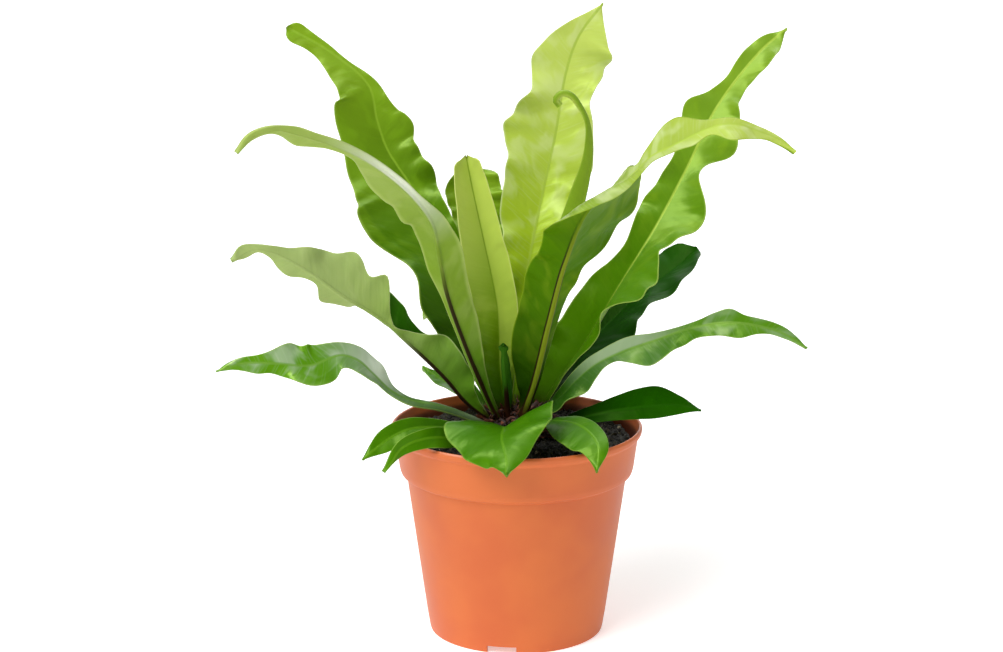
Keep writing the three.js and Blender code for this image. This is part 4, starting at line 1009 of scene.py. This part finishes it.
def waxy_leaf(kind, settings):
    """A living fern blade: waxy and satin above, duller below, veined, with light soaking into it."""
    crown, blade, tip, light, under, margin, rib, keel = (linear(c) for c in LEAVES[kind])
    material, tree, shader = surface(f"Waxy {kind} fern leaf")
    place = add(tree, "ShaderNodeAttribute", attribute_name="leaf_place").outputs["Vector"]
    share = add(tree, "ShaderNodeAttribute", attribute_name="leaf_share").outputs["Vector"]
    across, length, upper = add(tree, "ShaderNodeSeparateXYZ", {0: place}).outputs
    reach, t, seed = add(tree, "ShaderNodeSeparateXYZ", {0: share}).outputs
    far = add(tree, "ShaderNodeMath", {0: across}, operation="ABSOLUTE")
    near = add(tree, "ShaderNodeMath", {0: reach}, operation="ABSOLUTE")
    lower = add(tree, "ShaderNodeMath", {0: 1.0, 1: upper}, operation="SUBTRACT")
    slant = add(tree, "ShaderNodeMath", {0: far, 1: -1 / math.tan(settings.vein_angle), 2: length},
                operation="MULTIPLY_ADD")
    half = add(tree, "ShaderNodeMath", {0: across}, operation="SIGN")
    side = add(tree, "ShaderNodeMath", {0: seed, 1: half}, operation="ADD")
    on_blade = add(tree, "ShaderNodeCombineXYZ", {0: slant, 1: far, 2: side})

    # Veins run out from the midrib, as streaks long across the slant and short along it. Patches are broad
    noises = []
    for scale, distortion in (((MM / settings.vein_spacing, 0.06, 1), 0.0), ((1 / 14, 1 / 14, 1), 0.6)):
        scaled = add(tree, "ShaderNodeVectorMath", {0: on_blade, 1: scale}, operation="MULTIPLY")
        noises.append(add(tree, "ShaderNodeTexNoise", {"Vector": scaled, "Scale": 1.0, "Detail": 2.0,
                                                       "Distortion": distortion}))
    veins, patches = noises

    # The blade is deepest by the crown, brighter towards its tip and soaked with light in soft patches
    above = layered(tree, blade,
                    (tip, (t, 0.3, 0.95)),
                    (light, (patches, 0.45, 0.68), (t, 0.1, 0.6), 0.4),
                    (light, (veins, 0.5, 0.75, 0, 0.14)),
                    (crown, (t, 0.04, 0.45, 1, 0)))
    below = layered(tree, under,
                    (blade, (veins, 0.45, 0.75, 0, 0.16)),
                    (margin, (patches, 0.45, 0.7), 0.25),
                    (margin, (t, 0.4, 0.75, 0, 0.45)),
                    (crown, (t, 0.04, CROWN_REACH.get(kind, 0.36), 0.9, 0)))

    # The margin is a thin pale line, the midrib a stripe, with dark lines beside it or all over it underneath
    left, right, sheen_start, sheen_end = PAINTED_SHEEN.get(kind, NO_PAINTED_SHEEN)
    dark_half = RIB_SHADE_HALF.get(kind, 0.8)
    dark_end = RIB_SHADE_END.get(kind, 0.46)
    taper = add(tree, "ShaderNodeMapRange", {0: t, 1: 0.0, 2: 1.0, 3: 1.0, 4: 0.25})
    slim = add(tree, "ShaderNodeMath", {0: far, 1: taper}, operation="DIVIDE")
    colour = layered(tree, below,
                     (above, upper),
                     # painted sheen: a pale highlight on one or both halves
                     (light, (across, -0.3, 0.3, left, right), (t, sheen_end - 0.22, sheen_end, 1, 0),
                      (t, sheen_start, sheen_start + 0.2)),
                     # the pale margin, and on the soft kind a painted highlight along it
                     (margin, (near, MARGIN_AND_SHEEN_START.get(kind, 0.95), 1), 0.6),
                     (rib, (far, 0.35, 0.95, 1, 0), (t, 0.1, 0.45, 0.1, 0.75), upper),
                     (linear(RIB_SHADE), (slim, dark_half - 0.2, dark_half + 0.3, 1, 0),
                      (t, dark_end - 0.08, dark_end + 0.06, 1, 0), lower),
                     (keel, (slim, 0.5, 1, 1, 0), (t, 0, 0.08),
                      (t, dark_end - 0.06, dark_end + 0.12, 0.9, 0.08), lower),
                     (linear(OLD_STALK), (length, 3, 14, 0.8, 0)))
    rough = add(tree, "ShaderNodeMapRange", {0: upper, 1: 0.0, 2: 1.0, 3: 0.5, 4: 0.36})
    vein_bump = add(tree, "ShaderNodeBump", {"Strength": 0.25, "Distance": 0.25 * MM, "Height": veins})
    puckers = add(tree, "ShaderNodeBump", {"Strength": 0.35, "Distance": 2.5 * MM, "Height": patches,
                                           "Normal": vein_bump})
    fill(tree, shader, {
        "Base Color": colour, "Roughness": rough, "IOR": 1.42,
        "Specular IOR Level": GLOSS.get(kind, 0.22), "Specular Tint": (0.75, 1.0, 0.25, 1.0),
        "Subsurface Weight": 0.06, "Subsurface Radius": (0.6, 1.0, 0.1), "Subsurface Scale": 1.2 * MM,
        "Normal": puckers})
    return material


class FERN_OT_fronds(bpy.types.Operator):
    """Make every frond, each in place of its solid"""
    bl_idname = "fern.fronds"
    bl_label = "Fronds"

    def execute(self, context):
        settings = context.scene.fern_fronds
        materials = {kind: waxy_leaf(kind, settings) for kind in LEAVES}
        slots = {part["node"]: part["material_slot"] for part in frame["record"]["subparts"]}
        for number, frond in enumerate(FRONDS):
            node = "frond_" + frond["name"]
            settle(frond_piece(frond, settings, materials[frond["look"][0]], 3 * number + 1), slots[node], node)
        return {"FINISHED"}


# The stage

# What the softboxes look at, and each one's place, side in metres and power in watts
PLANT_MIDDLE = Vector((0, 0, 0.15))
SOFTBOXES = {"Sheen light": ((-0.7, -0.4, 1.5), 1.1, 80), "Overhead light": ((0.2, 0.5, 1.7), 1.2, 35),
             "Back light": ((0.3, 2.2, 1.3), 2.4, 40)}
# The key light, and the even glow of the sky and of the light table
KEY_STRENGTH = 2.3
KEY_SPREAD = math.radians(40)
KEY_DIRECTION = Vector((0.95, 1.0, -1.6))
GLOW = 0.42


def pale_floor(colour):
    """A white light table: even and nearly shadowless, with its own glow from below."""
    material, tree, shader = surface("White acrylic light table")
    place = add(tree, "ShaderNodeTexCoord").outputs["Object"]
    grain = add(tree, "ShaderNodeTexNoise", {"Vector": place, "Scale": 1 / (60 * MM), "Detail": 2.0})
    fill(tree, shader, {"Base Color": layered(tree, tuple(colour), (linear("#FBFBFB"), grain)),
                        "Roughness": 0.8, "Emission Color": (1, 1, 1, 1), "Emission Strength": GLOW})
    return material


def area_light(name, place, size, power):
    """A square softbox that looks at the plant and is there for its reflection in the waxy blades alone."""
    data = bpy.data.lights.new(name, "AREA")
    data.shape = "SQUARE"
    data.size = size
    data.energy = power
    light = bpy.data.objects.new(name, data)
    light.visible_diffuse = False
    light.visible_camera = False
    light.location = place
    light.rotation_euler = (PLANT_MIDDLE - Vector(place)).to_track_quat("-Z", "Y").to_euler()
    bpy.context.scene.collection.objects.link(light)


class FERN_OT_stage(bpy.types.Operator):
    """Make the pale floor, the soft lights and the camera"""
    bl_idname = "fern.stage"
    bl_label = "Stage"

    def execute(self, context):
        settings = context.scene.fern_stage
        scene = context.scene
        half = settings.floor_size / 2
        floor = mesh_piece("floor", [(-half, -half, 0), (half, -half, 0), (half, half, 0), (-half, half, 0)],
                           [(0, 1, 2, 3)], pale_floor(settings.floor_colour))
        sun = bpy.data.lights.new("Key light", "SUN")
        sun.energy = KEY_STRENGTH
        sun.angle = KEY_SPREAD
        key = bpy.data.objects.new("Key light", sun)
        key.rotation_euler = KEY_DIRECTION.to_track_quat("-Z", "Y").to_euler()
        scene.collection.objects.link(key)
        for name, softbox in SOFTBOXES.items():
            area_light(name, *softbox)
        world = bpy.data.worlds.new("White studio")
        world.use_nodes = True
        sky = world.node_tree.nodes["Background"]
        sky.inputs["Color"].default_value = (1, 1, 1, 1)
        sky.inputs["Strength"].default_value = GLOW
        scene.world = world
        scene.view_settings.view_transform = "Standard"
        camera = bpy.data.objects.new("Camera", bpy.data.cameras.new("Camera"))
        camera.data.sensor_width = 36
        camera.data.lens = settings.lens
        camera.location = settings.camera_place
        camera.rotation_euler = (math.pi / 2 - settings.camera_pitch, 0, 0)
        scene.collection.objects.link(camera)
        scene.camera = camera
        return {"FINISHED"}


class FERN_PT_parts(bpy.types.Panel):
    """The pieces and their settings in the sidebar"""
    bl_idname = "FERN_PT_parts"
    bl_label = "Fern"
    bl_space_type = "VIEW_3D"
    bl_region_type = "UI"
    bl_category = "Fern"

    def draw(self, context):
        for operator, group in PARTS:
            box = self.layout.box()
            box.operator(operator.bl_idname)
            settings = getattr(context.scene, group)
            for name in settings.__annotations__:
                box.prop(settings, name)


SETTINGS = {
    "fern_pot": FernPotSettings,
    "fern_soil": FernSoilSettings,
    "fern_crown": FernCrownSettings,
    "fern_fronds": FernFrondSettings,
    "fern_stage": FernStageSettings,
}
PARTS = [
    (FERN_OT_pot, "fern_pot"),
    (FERN_OT_soil, "fern_soil"),
    (FERN_OT_crown, "fern_crown"),
    (FERN_OT_fronds, "fern_fronds"),
    (FERN_OT_stage, "fern_stage"),
]
CLASSES = [*SETTINGS.values(), *(operator for operator, _ in PARTS), FERN_PT_parts]


def register():
    """Adds the classes and each piece's settings."""
    for item in CLASSES:
        bpy.utils.register_class(item)
    for name, group in SETTINGS.items():
        setattr(bpy.types.Scene, name, PointerProperty(type=group))


def unregister():
    """Takes them away again."""
    for name in SETTINGS:
        delattr(bpy.types.Scene, name)
    for item in reversed(CLASSES):
        bpy.utils.unregister_class(item)


def main():
    """Makes every piece."""
    register()
    bpy.ops.fern.pot()
    bpy.ops.fern.soil()
    bpy.ops.fern.crown()
    bpy.ops.fern.fronds()
    bpy.ops.fern.stage()


if __name__ == "__main__":
    main()
